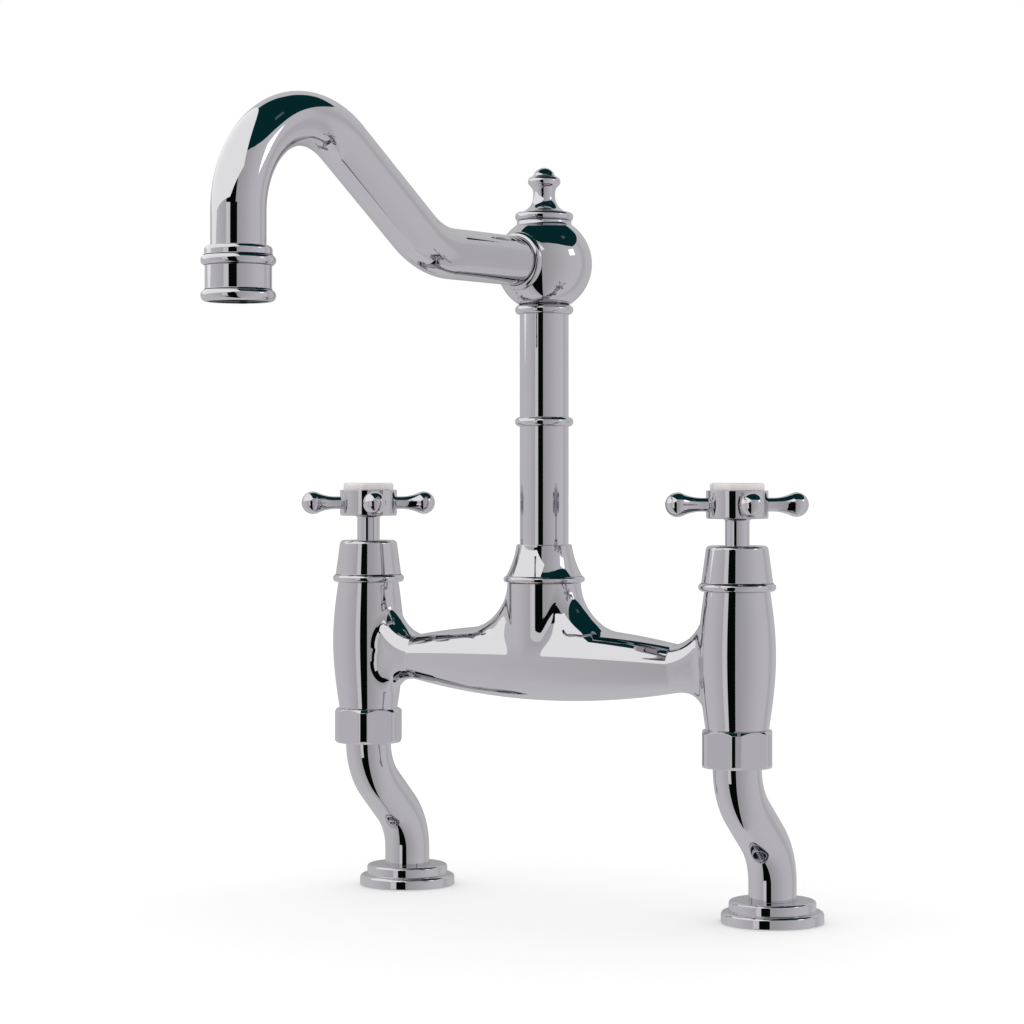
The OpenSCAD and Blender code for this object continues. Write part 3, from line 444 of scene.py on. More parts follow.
def rolled_union(one, two, softening):
    """Joins two shapes, each a distance and a direction at every point, with the fillet that a
    ball of that radius leaves. Where they face the same way there is nothing to fill."""
    a, a_facing = one
    b, b_facing = two
    cosine = np.clip((a_facing * b_facing).sum(1), -0.5, 0.99995)
    u, v = softening - a, softening - b
    inside = (u > v * cosine) & (v > u * cosine) & (u > 0) & (v > 0)
    span = np.sqrt(np.maximum(u * u + v * v - 2 * u * v * cosine, 0) / (1 - cosine**2))
    distance = np.where(inside, softening - span, np.minimum(a, b))
    return distance, np.where((a < b)[:, None], a_facing, b_facing)


def unit(v):
    """Vectors of length 1 that point the same way."""
    return v / np.maximum(np.linalg.norm(v, axis=1), 1e-9)[:, None]


def ease(t):
    """A soft step from 0 to 1."""
    t = np.clip(t, 0, 1)
    return t * t * (3 - 2 * t)


def bend_shape(x, y, z, middle, above, sweep, radius, outward, upward):
    """A quarter bend of round tube in the casting's upright plane, carried straight on at the end
    that leaves the bar."""
    out = outward * (np.abs(x) - middle)
    rise = upward * (z - above)
    before, after = out < 0, rise > 0
    reach = np.maximum(np.hypot(out, rise), 1e-9)
    flat_out = np.where(before, out, np.where(after, out - sweep, out * (1 - sweep / reach)))
    flat_rise = np.where(before, rise + sweep, np.where(after, 0, rise * (1 - sweep / reach)))
    spoke = np.column_stack([np.sign(x) * outward * flat_out, y, upward * flat_rise])
    return np.linalg.norm(spoke, axis=1) - radius, unit(spoke)


def casting_distance(p):
    """Distance, in mm, from points in the casting's own place to its skin."""
    x, y, z = p[:, 0], p[:, 1], p[:, 2] - BAR_Z
    width = np.abs(x)
    across = np.hypot(y, z)
    swell = np.maximum(BAR_RADIUS - width**2 / BAR_TAPER, BAR_END)
    slope = np.where(swell > BAR_END, width / (BAR_TAPER / 2), 0)
    lean = 1 / np.sqrt(1 + slope**2)
    beyond = np.maximum(width - HALF_SPREAD, 0)
    bar = (
        (np.hypot(across, beyond) - swell) * lean,
        unit(np.column_stack([np.sign(x) * (slope * across + beyond), y, z])),
    )
    below = np.minimum(z, 0)
    spoke = np.column_stack([x, y, below])
    riser = np.linalg.norm(spoke, axis=1) - RISER_RADIUS, unit(spoke)
    bearing = np.degrees(np.arctan2(width, np.abs(y)))
    share = ease((bearing - HOLLOW_BEARINGS[0]) / (HOLLOW_BEARINGS[1] - HOLLOW_BEARINGS[0]))
    body = rolled_union(bar, riser, FRONT_HOLLOW + (SIDE_HOLLOW - FRONT_HOLLOW) * share)
    for bend in BENDS:
        body = rolled_union(body, bend_shape(x, y, z, *bend), BEND_SOFTENING)
    side = np.where(x < 0, -1.0, 1.0)
    rise = p[:, 2] - BELLY_Z
    girth = BARREL_RADIUS - GIRTH_FALL * rise**2 * (1 - GIRTH_RELIEF * rise**2)
    girth_slope = -2 * GIRTH_FALL * rise * (1 - 2 * GIRTH_RELIEF * rise**2)
    lean = 1 / np.sqrt(1 + girth_slope**2)
    from_axis = np.hypot(x - side * HALF_SPREAD, y)
    safe = np.maximum(from_axis, 1e-6)
    barrel = (from_axis - girth) * lean, np.column_stack([
        (x - side * HALF_SPREAD) / safe * lean, y / safe * lean, -girth_slope * lean
    ])
    return rolled_union(body, barrel, VALVE_SOFTENING)[0]


def casting_facing(p, step=0.02):
    """Outward direction of the casting's skin, from its distance to either side."""
    sides = [np.eye(3)[i] * step for i in range(3)]
    rises = [casting_distance(p + s) - casting_distance(p - s) for s in sides]
    return np.column_stack(rises) / (2 * step)


def pull_to_skin(p, rounds):
    """Moves points straight onto the casting's skin, in a few rounds."""
    for _ in range(rounds):
        slope = casting_facing(p)
        p = p - slope * (casting_distance(p) / np.maximum((slope**2).sum(1), 0.05))[:, None]
    return p


def wrap_in_quads(low, high, step):
    """A coarse skin of quads round the casting: one point in each cell that its skin crosses."""
    axes = [np.arange(a, b, step) for a, b in zip(low, high)]
    shape = tuple(len(a) for a in axes)
    grid = np.stack(np.meshgrid(*axes, indexing="ij"), -1).reshape(-1, 3)
    solid = (casting_distance(grid) < 0).reshape(shape)
    cells = np.zeros(tuple(n - 1 for n in shape), int)
    for i in (0, 1):
        for j in (0, 1):
            for k in (0, 1):
                cells += solid[i : shape[0] - 1 + i, j : shape[1] - 1 + j, k : shape[2] - 1 + k]
    crossed = (cells > 0) & (cells < 8)
    number = np.full(crossed.shape, -1)
    number[crossed] = np.arange(crossed.sum())
    points = (np.argwhere(crossed) + 0.5) * step + np.array(low)
    quads = []
    for axis in range(3):
        one, two = (axis + 1) % 3, (axis + 2) % 3
        here = np.moveaxis(solid, (axis, one, two), (0, 1, 2))
        ids = np.moveaxis(number, (axis, one, two), (0, 1, 2))
        change = here[:-1, 1:-1, 1:-1] != here[1:, 1:-1, 1:-1]
        i, j, k = np.nonzero(change)
        j, k = j + 1, k + 1
        corners = np.column_stack(
            [ids[i, j - 1, k - 1], ids[i, j, k - 1], ids[i, j, k], ids[i, j - 1, k]]
        )
        outward = here[:-1, 1:-1, 1:-1][change]
        corners[~outward] = corners[~outward][:, ::-1]
        quads.append(corners[(corners >= 0).all(1)])
    return points, np.concatenate(quads)


def even_out(points, quads, rounds):
    """Slides the points along the skin until the quads are even."""
    for _ in range(rounds):
        total, count = np.zeros_like(points), np.zeros(len(points))
        for a in range(4):
            np.add.at(total, quads[:, a], points[quads[:, (a + 1) % 4]] + points[quads[:, a - 1]])
            np.add.at(count, quads[:, a], 2)
        points = pull_to_skin(points * 0.5 + 0.5 * total / np.maximum(count, 1)[:, None], 1)
    return points


def split_quads(points, quads):
    """Splits each quad in four."""
    pairs = np.concatenate([quads[:, [a, (a + 1) % 4]] for a in range(4)])
    edges, where = np.unique(np.sort(pairs, 1), axis=0, return_inverse=True)
    where = where.reshape(4, -1) + len(points)
    middles = np.arange(len(quads)) + len(points) + len(edges)
    new = np.concatenate([points, points[edges].mean(1), points[quads].mean(1)])
    fours = [np.column_stack([quads[:, a], where[a], middles, where[a - 1]]) for a in range(4)]
    return new, np.concatenate(fours)


skin, quads = wrap_in_quads(SKIN_LOW, SKIN_HIGH, SKIN_STEP)
skin = even_out(pull_to_skin(skin, 4), quads, 6)
skin, quads = split_quads(skin, quads)
skin = pull_to_skin(skin, 3)
shape = bmesh.new()
corners = [shape.verts.new(p) for p in skin.tolist()]
for quad in quads.tolist():
    shape.faces.new([corners[i] for i in quad])
for height, from_x, keep_below in (
    (BARREL_Z, 0, False), (RISER_TOP, 0, True), (BONNET_Z, CLEAR_OF_RISER, True),
):
    # Edges and vertices come once each and in the faces' order, so that every run cuts alike.
    part = [f for f in shape.faces if abs(f.calc_center_median().x) >= from_x]
    borders = dict.fromkeys(b for f in part for b in (*f.edges, *f.verts))
    bmesh.ops.bisect_plane(
        shape, geom=[*borders, *part], plane_co=(0, 0, height), plane_no=(0, 0, 1),
        dist=1e-5, clear_outer=keep_below, clear_inner=not keep_below,
    )
rims = [e for e in shape.edges if e.is_boundary]
caps = set(bmesh.ops.holes_fill(shape, edges=rims, sides=0)["faces"])
bmesh.ops.recalc_face_normals(shape, faces=shape.faces)
mesh = bpy.data.meshes.new("bridge_casting")
for face in shape.faces:
    face.smooth = face not in caps
shape.to_mesh(mesh)
shape.free()
where = np.zeros(len(mesh.vertices) * 3)
mesh.vertices.foreach_get("co", where)
where = where.reshape(-1, 3)
facing = unit(casting_facing(where))
corner_facing = np.zeros((len(mesh.loops), 3))
for face in mesh.polygons:
    for i in face.loop_indices:
        corner_facing[i] = facing[mesh.loops[i].vertex_index] if face.use_smooth else face.normal
where = (where + np.array([0, VALVE_Y, 0])) * MM
mesh.vertices.foreach_set("co", where.ravel())
mesh.update()
mesh.normals_split_custom_set(corner_facing.tolist())
mesh.materials.append(chrome)
casting = bpy.data.objects.new("bridge_casting", mesh)
bpy.context.scene.collection.objects.link(casting)
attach(casting, "body")
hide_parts("bridge_body")

# Valve cartridges: screwed into the bodies from above. A machined brass sleeve holds two lapped
# alumina discs, a rubber lip seal and the spindle with its O-ring. All of it is covered by the
# bonnet and the handle, and stays as the CAD made it.
brass, tree, shader, place = new_material("machined_brass", Metallic=1.0)
vary(tree, shader, place, 3, ("c8a35c", "b8924c"), (0.18, 0.32), 0.002)
alumina, tree, shader, place = new_material("lapped_alumina", IOR=1.77)
vary(tree, shader, place, 1.5, ("f1ead8", "e9e0ca"), (0.12, 0.2))
for side in SIDES:
    for node, material, slot in (
        ("cartridge_body", brass, "brass"), ("spindle", brass, "brass"),
        ("handle_screw", brass, "brass"), ("fixed_disc", alumina, "alumina"),
        ("turning_disc", alumina, "alumina"), ("lip_seal", rubber, "rubber"),
        ("spindle_o_ring", rubber, "rubber"),
    ):
        finish_cad(f"{side}_{node}", material)

# Bonnets: turned brass cones with a ring bead at the foot, screwed over the cartridge's head.
# Polished and plated, they end in a rounded shoulder with a hole for the handle's neck.
BONNET_TOP, BONNET_CEILING, BONNET_BEAD, BEAD_HEIGHT, BONNET_HOLE = 19.7, 17.1, 16.75, 3.6, 5.6
CONE_FOOT, CONE_TOP, BONNET_MOUTH, MOUTH_END, BONNET_BORE = 15.45, 13.25, 13.25, 2.05, 11.45
bonnet_corners = [
    (BONNET_MOUTH, 0, 0.2), (BONNET_BEAD, 0, 1.79), (BONNET_BEAD, BEAD_HEIGHT, 1.79),
    (CONE_FOOT, BEAD_HEIGHT, 0.3), (CONE_TOP, BONNET_TOP, 1.9), (BONNET_HOLE, BONNET_TOP, 0.3),
    (BONNET_HOLE, BONNET_CEILING, 0.2), (BONNET_BORE, BONNET_CEILING, 0.3),
    (BONNET_MOUTH, MOUTH_END, 0.2),
]
for side, sign in SIDES.items():
    axis = upright(sign * HALF_SPREAD, VALVE_Y, BONNET_Z)
    shell = turned_shell(rounded_outline(bonnet_corners), axis)
    bonnet = make_piece(f"{side}_turned_bonnet", [shell], chrome)
    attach(bonnet, "body")
    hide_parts(f"{side}_bonnet")

# Handle hubs: turned brass drums on a slim neck, bored on top for the index and drilled for the
# four arms. Polished and plated. The neck goes down through the bonnet onto the spindle.
HANDLE_Z, HUB_Z, HUB_TOP, HUB_RADIUS, NECK_RADIUS = 164.302, 177.102, 189.302, 13.4, 5.3
INDEX_SEAT_Z, INDEX_BORE, SCREW_BORE = 186.902, 11.75, 4.3
SPINDLE_END_Z, SPINDLE_BORE = 180.102, 4.05
hub_corners = [
    (SPINDLE_BORE, HANDLE_Z, 0.2), (NECK_RADIUS, HANDLE_Z, 0.2), (NECK_RADIUS, HUB_Z, 1.4),
    (HUB_RADIUS, HUB_Z, 0.9), (HUB_RADIUS, HUB_TOP, 0.25), (INDEX_BORE, HUB_TOP, 0.15),
    (INDEX_BORE, INDEX_SEAT_Z, 0.1), (SCREW_BORE, INDEX_SEAT_Z, 0.2),
    (SCREW_BORE, SPINDLE_END_Z, 0.2), (SPINDLE_BORE, SPINDLE_END_Z, 0.0),
]
for side, sign in SIDES.items():
    shell = turned_shell(rounded_outline(hub_corners), upright(sign * HALF_SPREAD, VALVE_Y))
    hub = make_piece(f"{side}_turned_hub", [shell], chrome)
    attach(hub, f"{side}_handle")
    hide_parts(f"{side}_handle_hub")

# Handle arms: four pear-shaped arms on each hub, turned from brass rod with a tenon that is
# brazed into the hub. The slim neck swells in one long hollow curve into a ball end.
ARM_Z, ARM_REACH, ARM_BALL, ARM_NECK, ARM_HOLLOW, TENON_END = 183.202, 26.25, 5.34, 3.0, 20.0, 10.5


def pear_outline():
    """Points and normals from the tenon in the hub to the tip of the ball."""
    waist = ARM_REACH - math.sqrt((ARM_HOLLOW + ARM_BALL) ** 2 - (ARM_NECK + ARM_HOLLOW) ** 2)
    sweep = math.acos((ARM_NECK + ARM_HOLLOW) / (ARM_HOLLOW + ARM_BALL))
    points = [(0, TENON_END), (ARM_NECK - 0.1, TENON_END), (ARM_NECK, TENON_END + 0.1)]
    normals = [(0, -1), (0.5, -1), (1, 0)]
    for a in np.linspace(0, sweep, 14):
        points.append((ARM_NECK + ARM_HOLLOW * (1 - math.cos(a)), waist + ARM_HOLLOW * math.sin(a)))
        normals.append((math.cos(a), -math.sin(a)))
    for a in np.linspace(-sweep, math.pi / 2, 30)[1:]:
        points.append((max(ARM_BALL * math.cos(a), 0.0), ARM_REACH + ARM_BALL * math.sin(a)))
        normals.append((math.cos(a), math.sin(a)))
    points[-1] = (0.0, points[-1][1])
    return np.array(points, float), np.array(normals, float)


for side, sign in SIDES.items():
    shells = []
    for quarter in range(4):
        axis = level(sign * HALF_SPREAD, VALVE_Y, ARM_Z, math.pi / 4 + quarter * math.pi / 2)
        shells.append(turned_shell(pear_outline(), axis, closed=False, around=96))
    arms = make_piece(f"{side}_pear_arms", shells, chrome)
    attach(arms, f"{side}_handle")
    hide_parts(f"{side}_handle_arms")

# Indices: buttons of white glazed porcelain, pressed into the hub over the handle screw. The
# glaze is glassy and even, with only a slow drift in its white.
porcelain, tree, shader, place = new_material(
    "glazed_porcelain", IOR=1.5, Coat_Weight=0.6, Coat_Roughness=0.05
)
vary(tree, shader, place, 9, ("e0dbdb", "e5e0e0"), (0.1, 0.14), detail=1)
INDEX_RADIUS, INDEX_FOOT, INDEX_TOP = 11.7, 186.95, 192.602
index_corners = [
    (0, INDEX_FOOT, 0), (INDEX_RADIUS, INDEX_FOOT, 0.2), (INDEX_RADIUS, INDEX_TOP, 1.3),
    (0, INDEX_TOP, 0),
]
for side, sign in SIDES.items():
    outline = rounded_outline(index_corners, closed=False)
    shell = turned_shell(outline, upright(sign * HALF_SPREAD, VALVE_Y), closed=False)
    button = make_piece(f"{side}_porcelain_button", [shell], porcelain)
    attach(button, f"{side}_handle")
    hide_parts(f"{side}_index")

# Spout nut and swivel: a turned and plated nut with a ring bead and a hollow flank. It screws on
# the riser and holds the spout's brass foot between two acetal rings, with two O-rings below.
NUT_TOP, RING_RADIUS, RING_HEIGHT, FLANK_FOOT, FLANK_TOP = 164.802, 18.35, 2.85, 17.2, 12.45
FOOT_SEAT_Z, COLUMN_BORE, RISER_THREAD, FLANK_HOLLOW = 155.95, 11.05, 13.25, 40


def hollow_flank(low, high, hollow, count=14):
    """Corners along an arc that curves inward between two points of an outline."""
    low, high = np.array(low), np.array(high)
    chord = high - low
    half = np.linalg.norm(chord) / 2
    outward = np.array([chord[1], -chord[0]]) / (2 * half)
    middle = (low + high) / 2 + outward * math.sqrt(hollow**2 - half**2)
    first = math.atan2(*(low - middle)[::-1])
    last = math.atan2(*(high - middle)[::-1])
    last = first + (last - first + math.pi) % (2 * math.pi) - math.pi
    return [
        (middle[0] + hollow * math.cos(a), middle[1] + hollow * math.sin(a), 0)
        for a in np.linspace(first, last, count)
    ]


ring_top = RISER_TOP + RING_HEIGHT
flank = hollow_flank((FLANK_FOOT, ring_top), (FLANK_TOP, NUT_TOP), FLANK_HOLLOW)
spout_nut_corners = [
    (RISER_THREAD, RISER_TOP, 0.2), (RING_RADIUS, RISER_TOP, 1.42), (RING_RADIUS, ring_top, 1.42),
    (FLANK_FOOT, ring_top, 0.25), *flank[1:-1], (FLANK_TOP, NUT_TOP, 0.35),
    (COLUMN_BORE, NUT_TOP, 0.15), (COLUMN_BORE, FOOT_SEAT_Z, 0.2), (RISER_THREAD, FOOT_SEAT_Z, 0.2),
]
shell = turned_shell(rounded_outline(spout_nut_corners), upright(0, VALVE_Y), around=192)
swivel_nut = make_piece("spout_swivel_nut", [shell], chrome)
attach(swivel_nut, "body")
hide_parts("spout_nut")
acetal, tree, shader, place = new_material("moulded_acetal", IOR=1.48)
vary(tree, shader, place, 1.5, ("ecebe6", "e4e2dc"), (0.35, 0.45), 0.004)
finish_cad("swivel_rings", acetal)
finish_cad("column_foot", brass)
finish_cad("foot_o_rings", rubber)

# Spout column: 22 mm brass tube, drawn, polished and plated, with two turned ring beads that are
# soldered on: one halfway and one under the ball.
COLUMN_RADIUS, TUBE_BORE, COLUMN_LOW, COLUMN_HIGH = 11, 9.5, 155.06, 280.68
BEAD_RADIUS, BEAD_HALF, BEADS_Z = 13.15, 2.1, (220.102, 270.571)
column_corners = [
    (TUBE_BORE, COLUMN_LOW, 0.2), (COLUMN_RADIUS, COLUMN_LOW, 0.3),
    (COLUMN_RADIUS, COLUMN_HIGH, 0.2), (TUBE_BORE, COLUMN_HIGH, 0.2),
]
shell = turned_shell(rounded_outline(column_corners), upright(0, VALVE_Y), around=192)
column = make_piece("drawn_column", [shell], chrome)
bead_corners = [
    (COLUMN_BORE, -BEAD_HALF, 0.1), (BEAD_RADIUS, -BEAD_HALF, 2.09),
    (BEAD_RADIUS, BEAD_HALF, 2.09), (COLUMN_BORE, BEAD_HALF, 0.1),
]
shells = [
    turned_shell(rounded_outline(bead_corners), upright(0, VALVE_Y, z), around=192)
    for z in BEADS_Z
]
beads = make_piece("column_ring_beads", shells, chrome)
for piece, node in ((column, "spout_column"), (beads, "column_beads")):
    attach(piece, "spout")
    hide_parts(node)

# Ball: a hollow brass casting, turned round and plated, that joins the column to the arm. A short
# boss stands on top for the finial.
BALL_Z, BALL_RADIUS, BOSS_RADIUS, BOSS_UP = 291.202, 21.55, 12.3, 19.35
BALL_SEAT_Z, STUD_BORE = 281.5, 3.05
foot_angle = -math.acos(COLUMN_BORE / BALL_RADIUS)
head_angle = math.acos(BOSS_RADIUS / BALL_RADIUS)
ball_corners = [(COLUMN_BORE, BALL_SEAT_Z, 0.1)]
ball_corners += [
    (BALL_RADIUS * math.cos(a), BALL_Z + BALL_RADIUS * math.sin(a), 0)
    for a in np.linspace(foot_angle, head_angle, 44)
]
ball_corners += [
    (BOSS_RADIUS, BALL_Z + BOSS_UP, 0.3), (STUD_BORE, BALL_Z + BOSS_UP, 0.1),
    (STUD_BORE, BALL_SEAT_Z, 0.1),
]
shell = turned_shell(rounded_outline(ball_corners), upright(0, VALVE_Y), around=256)
ball = make_piece("turned_ball", [shell], chrome)
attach(ball, "spout")
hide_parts("spout_ball")

# Finial: turned from brass rod, polished and plated, and screwed into the ball's boss. A ring
# bead, a deep hollow up to a slim waist, a small bulge and a domed tip.
FINIAL_Z, STUD_LENGTH, STUD_RADIUS, FINIAL_RING, FINIAL_HEIGHT = 310.552, 7, 3, 13.1, 24.1
FINIAL_WAIST, HOLLOW_RADIUS, COVE_RADIUS, BULGE_RADIUS, DOME_RADIUS = 4.95, 7.5, 4.5, 2.3, 5.2
# Heights above the finial's foot of the hollow's low end, the bulge's and the dome's middles, and
# the angles at which the hollow starts, the bulge ends and the dome starts.
HOLLOW_UP, BULGE_UP, DOME_UP, BULGE_OUT = 3.7, 17.8, 18.9, 5.03
HOLLOW_START, BULGE_END, DOME_START = 1.15, 1.25, 0.22
FINIAL_RING_TOP, SHOULDER_RADIUS, SHOULDER_UP = 3.65, 9.7, 4.1


def arc(out, up, radius, first, last, count):
    """Corners along an arc of the finial's outline, from its middle, radius and two angles."""
    return [
        (out + radius * math.cos(a), FINIAL_Z + up + radius * math.sin(a), 0)
        for a in np.linspace(first, last, count)
    ]


reach = FINIAL_WAIST + COVE_RADIUS - BULGE_OUT
sweep = math.acos(reach / (COVE_RADIUS + BULGE_RADIUS))
cove_up = BULGE_UP - (COVE_RADIUS + BULGE_RADIUS) * math.sin(sweep)
hollow_place = FINIAL_WAIST + HOLLOW_RADIUS, HOLLOW_UP + HOLLOW_RADIUS
hollow = arc(*hollow_place, -HOLLOW_RADIUS, HOLLOW_START, 0, 14)
cove = arc(FINIAL_WAIST + COVE_RADIUS, cove_up, -COVE_RADIUS, 0, -sweep, 9)
bulge = arc(BULGE_OUT, BULGE_UP, BULGE_RADIUS, -sweep, BULGE_END, 18)
dome = arc(0, DOME_UP, DOME_RADIUS, DOME_START, math.pi / 2, 14)
finial_corners = [
    (0, FINIAL_Z - STUD_LENGTH, 0), (STUD_RADIUS, FINIAL_Z - STUD_LENGTH, 0.3),
    (STUD_RADIUS, FINIAL_Z, 0.1), (FINIAL_RING, FINIAL_Z, 1.8),
    (FINIAL_RING, FINIAL_Z + FINIAL_RING_TOP, 1.75), (SHOULDER_RADIUS, FINIAL_Z + SHOULDER_UP, 0.2),
    *hollow, *cove, *bulge[1:], *dome[:-1], (0, FINIAL_Z + FINIAL_HEIGHT, 0),
]
outline = rounded_outline(finial_corners, closed=False)
shell = turned_shell(outline, upright(0, VALVE_Y), closed=False, around=192)
finial = make_piece("turned_finial", [shell], chrome)
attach(finial, "spout")
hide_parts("finial")

# Arm collar and spout arm: one length of the same 22 mm tube, bent on a mandrel into a rising run
# and an arch, soldered into the ball behind a turned ring bead, then polished and plated.
ARM_START, ARM_TUBE, ARM_BEAD = 15.8, 10.965, 20.631
LEVEL_RUN, FIRST_BEND, RISING_RUN, ARCH_BEND, FALLING_RUN = 54.0, 45.6, 57.6, 40.7, 22.3
RISE_ANGLE = 34.5
arm_runs = [
    (LEVEL_RUN, 0), (FIRST_BEND, math.radians(RISE_ANGLE)), (RISING_RUN, 0),
    (ARCH_BEND, -math.radians(90 + RISE_ANGLE)), (FALLING_RUN, 0),
]
path, length = bent_axis(
    (0, VALVE_Y - ARM_START, BALL_Z), 0.0, arm_runs, (0, -1, 0), (0, 0, 1), (1, 0, 0)
)
arm_corners = [
    (TUBE_BORE, 0, 0.2), (ARM_TUBE, 0, 0.2), (ARM_TUBE, length, 0.2), (TUBE_BORE, length, 0.2),
]
tube = turned_shell(close_up(rounded_outline(arm_corners), spacing=1.1), path, around=160)
arm = make_piece("bent_spout_arm", [tube], chrome)
bead = turned_shell(
    rounded_outline(bead_corners), level(0, VALVE_Y - ARM_BEAD, BALL_Z, -math.pi / 2), around=192
)
collar = make_piece("arm_ring_bead", [bead], chrome)
for piece, node in ((arm, "spout_arm"), (collar, "arm_collar")):
    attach(piece, "spout")
    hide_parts(node)

# Outlet: a turned and plated brass collar with two ring beads and a rounded lip, soldered over
# the arm's end. The aerator is a brass housing with a moulded plastic insert and a rubber washer.
OUTLET_Y, OUTLET_Z, OUTLET_BEAD, OUTLET_WALL, OUTLET_LIP = -236.551, 263.255, 14.74, 13.1, 13.35
AERATOR_BORE, AERATOR_DEPTH = 12.05, 11.2
# Heights of the two beads' ends, the lip's top and the seat of the arm above the outlet's foot.
LOW_BEAD_TOP, HIGH_BEAD_FOOT, HIGH_BEAD_TOP, LIP_TOP, ARM_SEAT = 4.8, 14.1, 18.3, 21.95, 12.7
outlet_corners = [
    (AERATOR_BORE, 0, 0.2), (OUTLET_BEAD, 0, 2.39), (OUTLET_BEAD, LOW_BEAD_TOP, 2.39),
    (OUTLET_WALL, LOW_BEAD_TOP, 0.25), (OUTLET_WALL, HIGH_BEAD_FOOT, 0.25),
    (OUTLET_BEAD, HIGH_BEAD_FOOT, 2.09), (OUTLET_BEAD, HIGH_BEAD_TOP, 2.09),
    (OUTLET_LIP, HIGH_BEAD_TOP, 0.2), (OUTLET_LIP, LIP_TOP, 1.8), (COLUMN_BORE, LIP_TOP, 0.1),
    (COLUMN_BORE, ARM_SEAT, 0.1), (TUBE_BORE, ARM_SEAT, 0.1), (TUBE_BORE, AERATOR_DEPTH, 0.1),
    (AERATOR_BORE, AERATOR_DEPTH, 0.1),
]
shell = turned_shell(rounded_outline(outlet_corners), upright(0, OUTLET_Y, OUTLET_Z), around=192)
outlet = make_piece("turned_outlet", [shell], chrome)
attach(outlet, "spout")
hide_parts("outlet_collar")
plastic, tree, shader, place = new_material("moulded_grey_plastic", IOR=1.46)
vary(tree, shader, place, 1, ("2a2a2c", "333336"), (0.4, 0.5), 0.005)
darkened, tree, shader, place = new_material("darkened_brass", Metallic=1.0)
vary(tree, shader, place, 2, ("332e2a", "24211f"), (0.35, 0.5), 0.003)
finish_cad("aerator_housing", darkened)
finish_cad("aerator_insert", plastic)
finish_cad("aerator_washer", rubber)

# Studio: a white world, a white floor that keeps the faucet's soft shadow, and a photographer's
# light tent that shows only in reflections. The tent is a round wall, darker by the camera and
# open to a dark ceiling. In it hang a flat pale reflector overhead on the left, a black flag
# beside the camera with a narrow pale card, and on the right a small lamp with a dim skylight
# above it. Bearings are in degrees, from the camera towards the picture's left. Heights are in
# degrees above level.
TENT_CENTRE = np.array([0, -0.09, 0.17])
towards_camera = np.array([math.sin(camera_bearing), -math.cos(camera_bearing), 0])
towards_left = np.array([-math.cos(camera_bearing), -math.sin(camera_bearing), 0])


def for_gloss_only(name, mesh):
    """Puts a sheet up where only reflections show it."""
    sheet = bpy.data.objects.new(name, mesh)
    bpy.context.scene.collection.objects.link(sheet)
    for kind in ("camera", "diffuse", "transmission", "volume_scatter", "shadow"):
        setattr(sheet, f"visible_{kind}", False)


def hang(name, bearings, lows, highs, reach, material, step=3):
    """A sheet on a round shell, between two heights that change with the bearing."""
    count = max(2, math.ceil(abs(bearings[-1] - bearings[0]) / step))
    rows = max(2, math.ceil(max(h - l for h, l in zip(highs, lows)) / step))
    across = np.linspace(bearings[0], bearings[-1], count + 1)
    low, high = np.interp(across, bearings, lows), np.interp(across, bearings, highs)
    points, faces = [], []
    for i in range(count + 1):
        turn = math.radians(across[i])
        level_way = math.cos(turn) * towards_camera + math.sin(turn) * towards_left
        for j in range(rows + 1):
            lift = math.radians(low[i] + (high[i] - low[i]) * j / rows)
            way = math.cos(lift) * level_way + math.sin(lift) * np.array([0, 0, 1])
            points.append((TENT_CENTRE + reach * way).tolist())
            if i and j:
                a = i * (rows + 1) + j
                faces.append((a, a - 1, a - rows - 2, a - rows - 1))
    mesh = bpy.data.meshes.new(name)
    mesh.from_pydata(points, [], faces)
    mesh.materials.append(material)
    for_gloss_only(name, mesh)


def glow(name, colour):
    """A cloth that shines with a colour of its own, and its tree and light."""
    material = bpy.data.materials.new(name)
    material.use_nodes = True
    tree = material.node_tree
    tree.nodes.clear()
    light = add_node(tree, "ShaderNodeEmission", {"Color": (*colour, 1)})
    add_node(tree, "ShaderNodeOutputMaterial", {"Surface": light.outputs[0]})
    return material, tree, light


def grey_ramp(tree, share, levels, tint=0):
    """Greys along a share from 0 to 1, from (share, brightness) pairs, and their cool tint."""
    ramp = add_node(tree, "ShaderNodeValToRGB", {"Fac": share})
    stops = ramp.color_ramp.elements
    for i, (position, brightness) in enumerate(levels):
        stop = stops[i] if i < 2 else stops.new(position)
        stop.position = position
        stop.color = (brightness * (1 - tint), brightness, brightness * (1 + tint), 1)
    return ramp.outputs["Color"]


# The tent's wall is darkest by the camera and brightens away from it: bearings, each with a
# brightness. A second ramp dims it again behind the faucet: shares of the way from straight behind
# to square with the camera, each with what is left of the brightness.
WALL_LEVELS = (
    (-180, 0.86), (-145, 0.845), (-122, 0.80), (-117, 0.72), (-106, 0.69), (-101, 0.81),
    (-78, 0.805), (-60, 0.765), (-45, 0.71), (-30, 0.645), (-15, 0.59), (0, 0.535), (45, 0.635),
    (55, 0.68), (65, 0.715), (80, 0.77), (100, 0.815), (125, 0.82), (145, 0.845), (180, 0.86),
)
COOL_TINT = 0.005
BACK_DIMMING = ((0, 0.5), (0.06, 0.71), (0.234, 0.885), (0.5, 0.97), (1, 1))
wall, tree, light = glow("tent_wall", (0.8, 0.8, 0.8))
spot = add_node(tree, "ShaderNodeNewGeometry").outputs["Position"]
way = add_node(
    tree, "ShaderNodeVectorMath", {0: spot, 1: tuple(TENT_CENTRE)}, operation="SUBTRACT"
).outputs[0]
way = add_node(tree, "ShaderNodeVectorMath", {0: way}, operation="NORMALIZE").outputs[0]
ahead = add_node(
    tree, "ShaderNodeVectorMath", {0: way, 1: tuple(towards_camera)}, operation="DOT_PRODUCT"
).outputs["Value"]
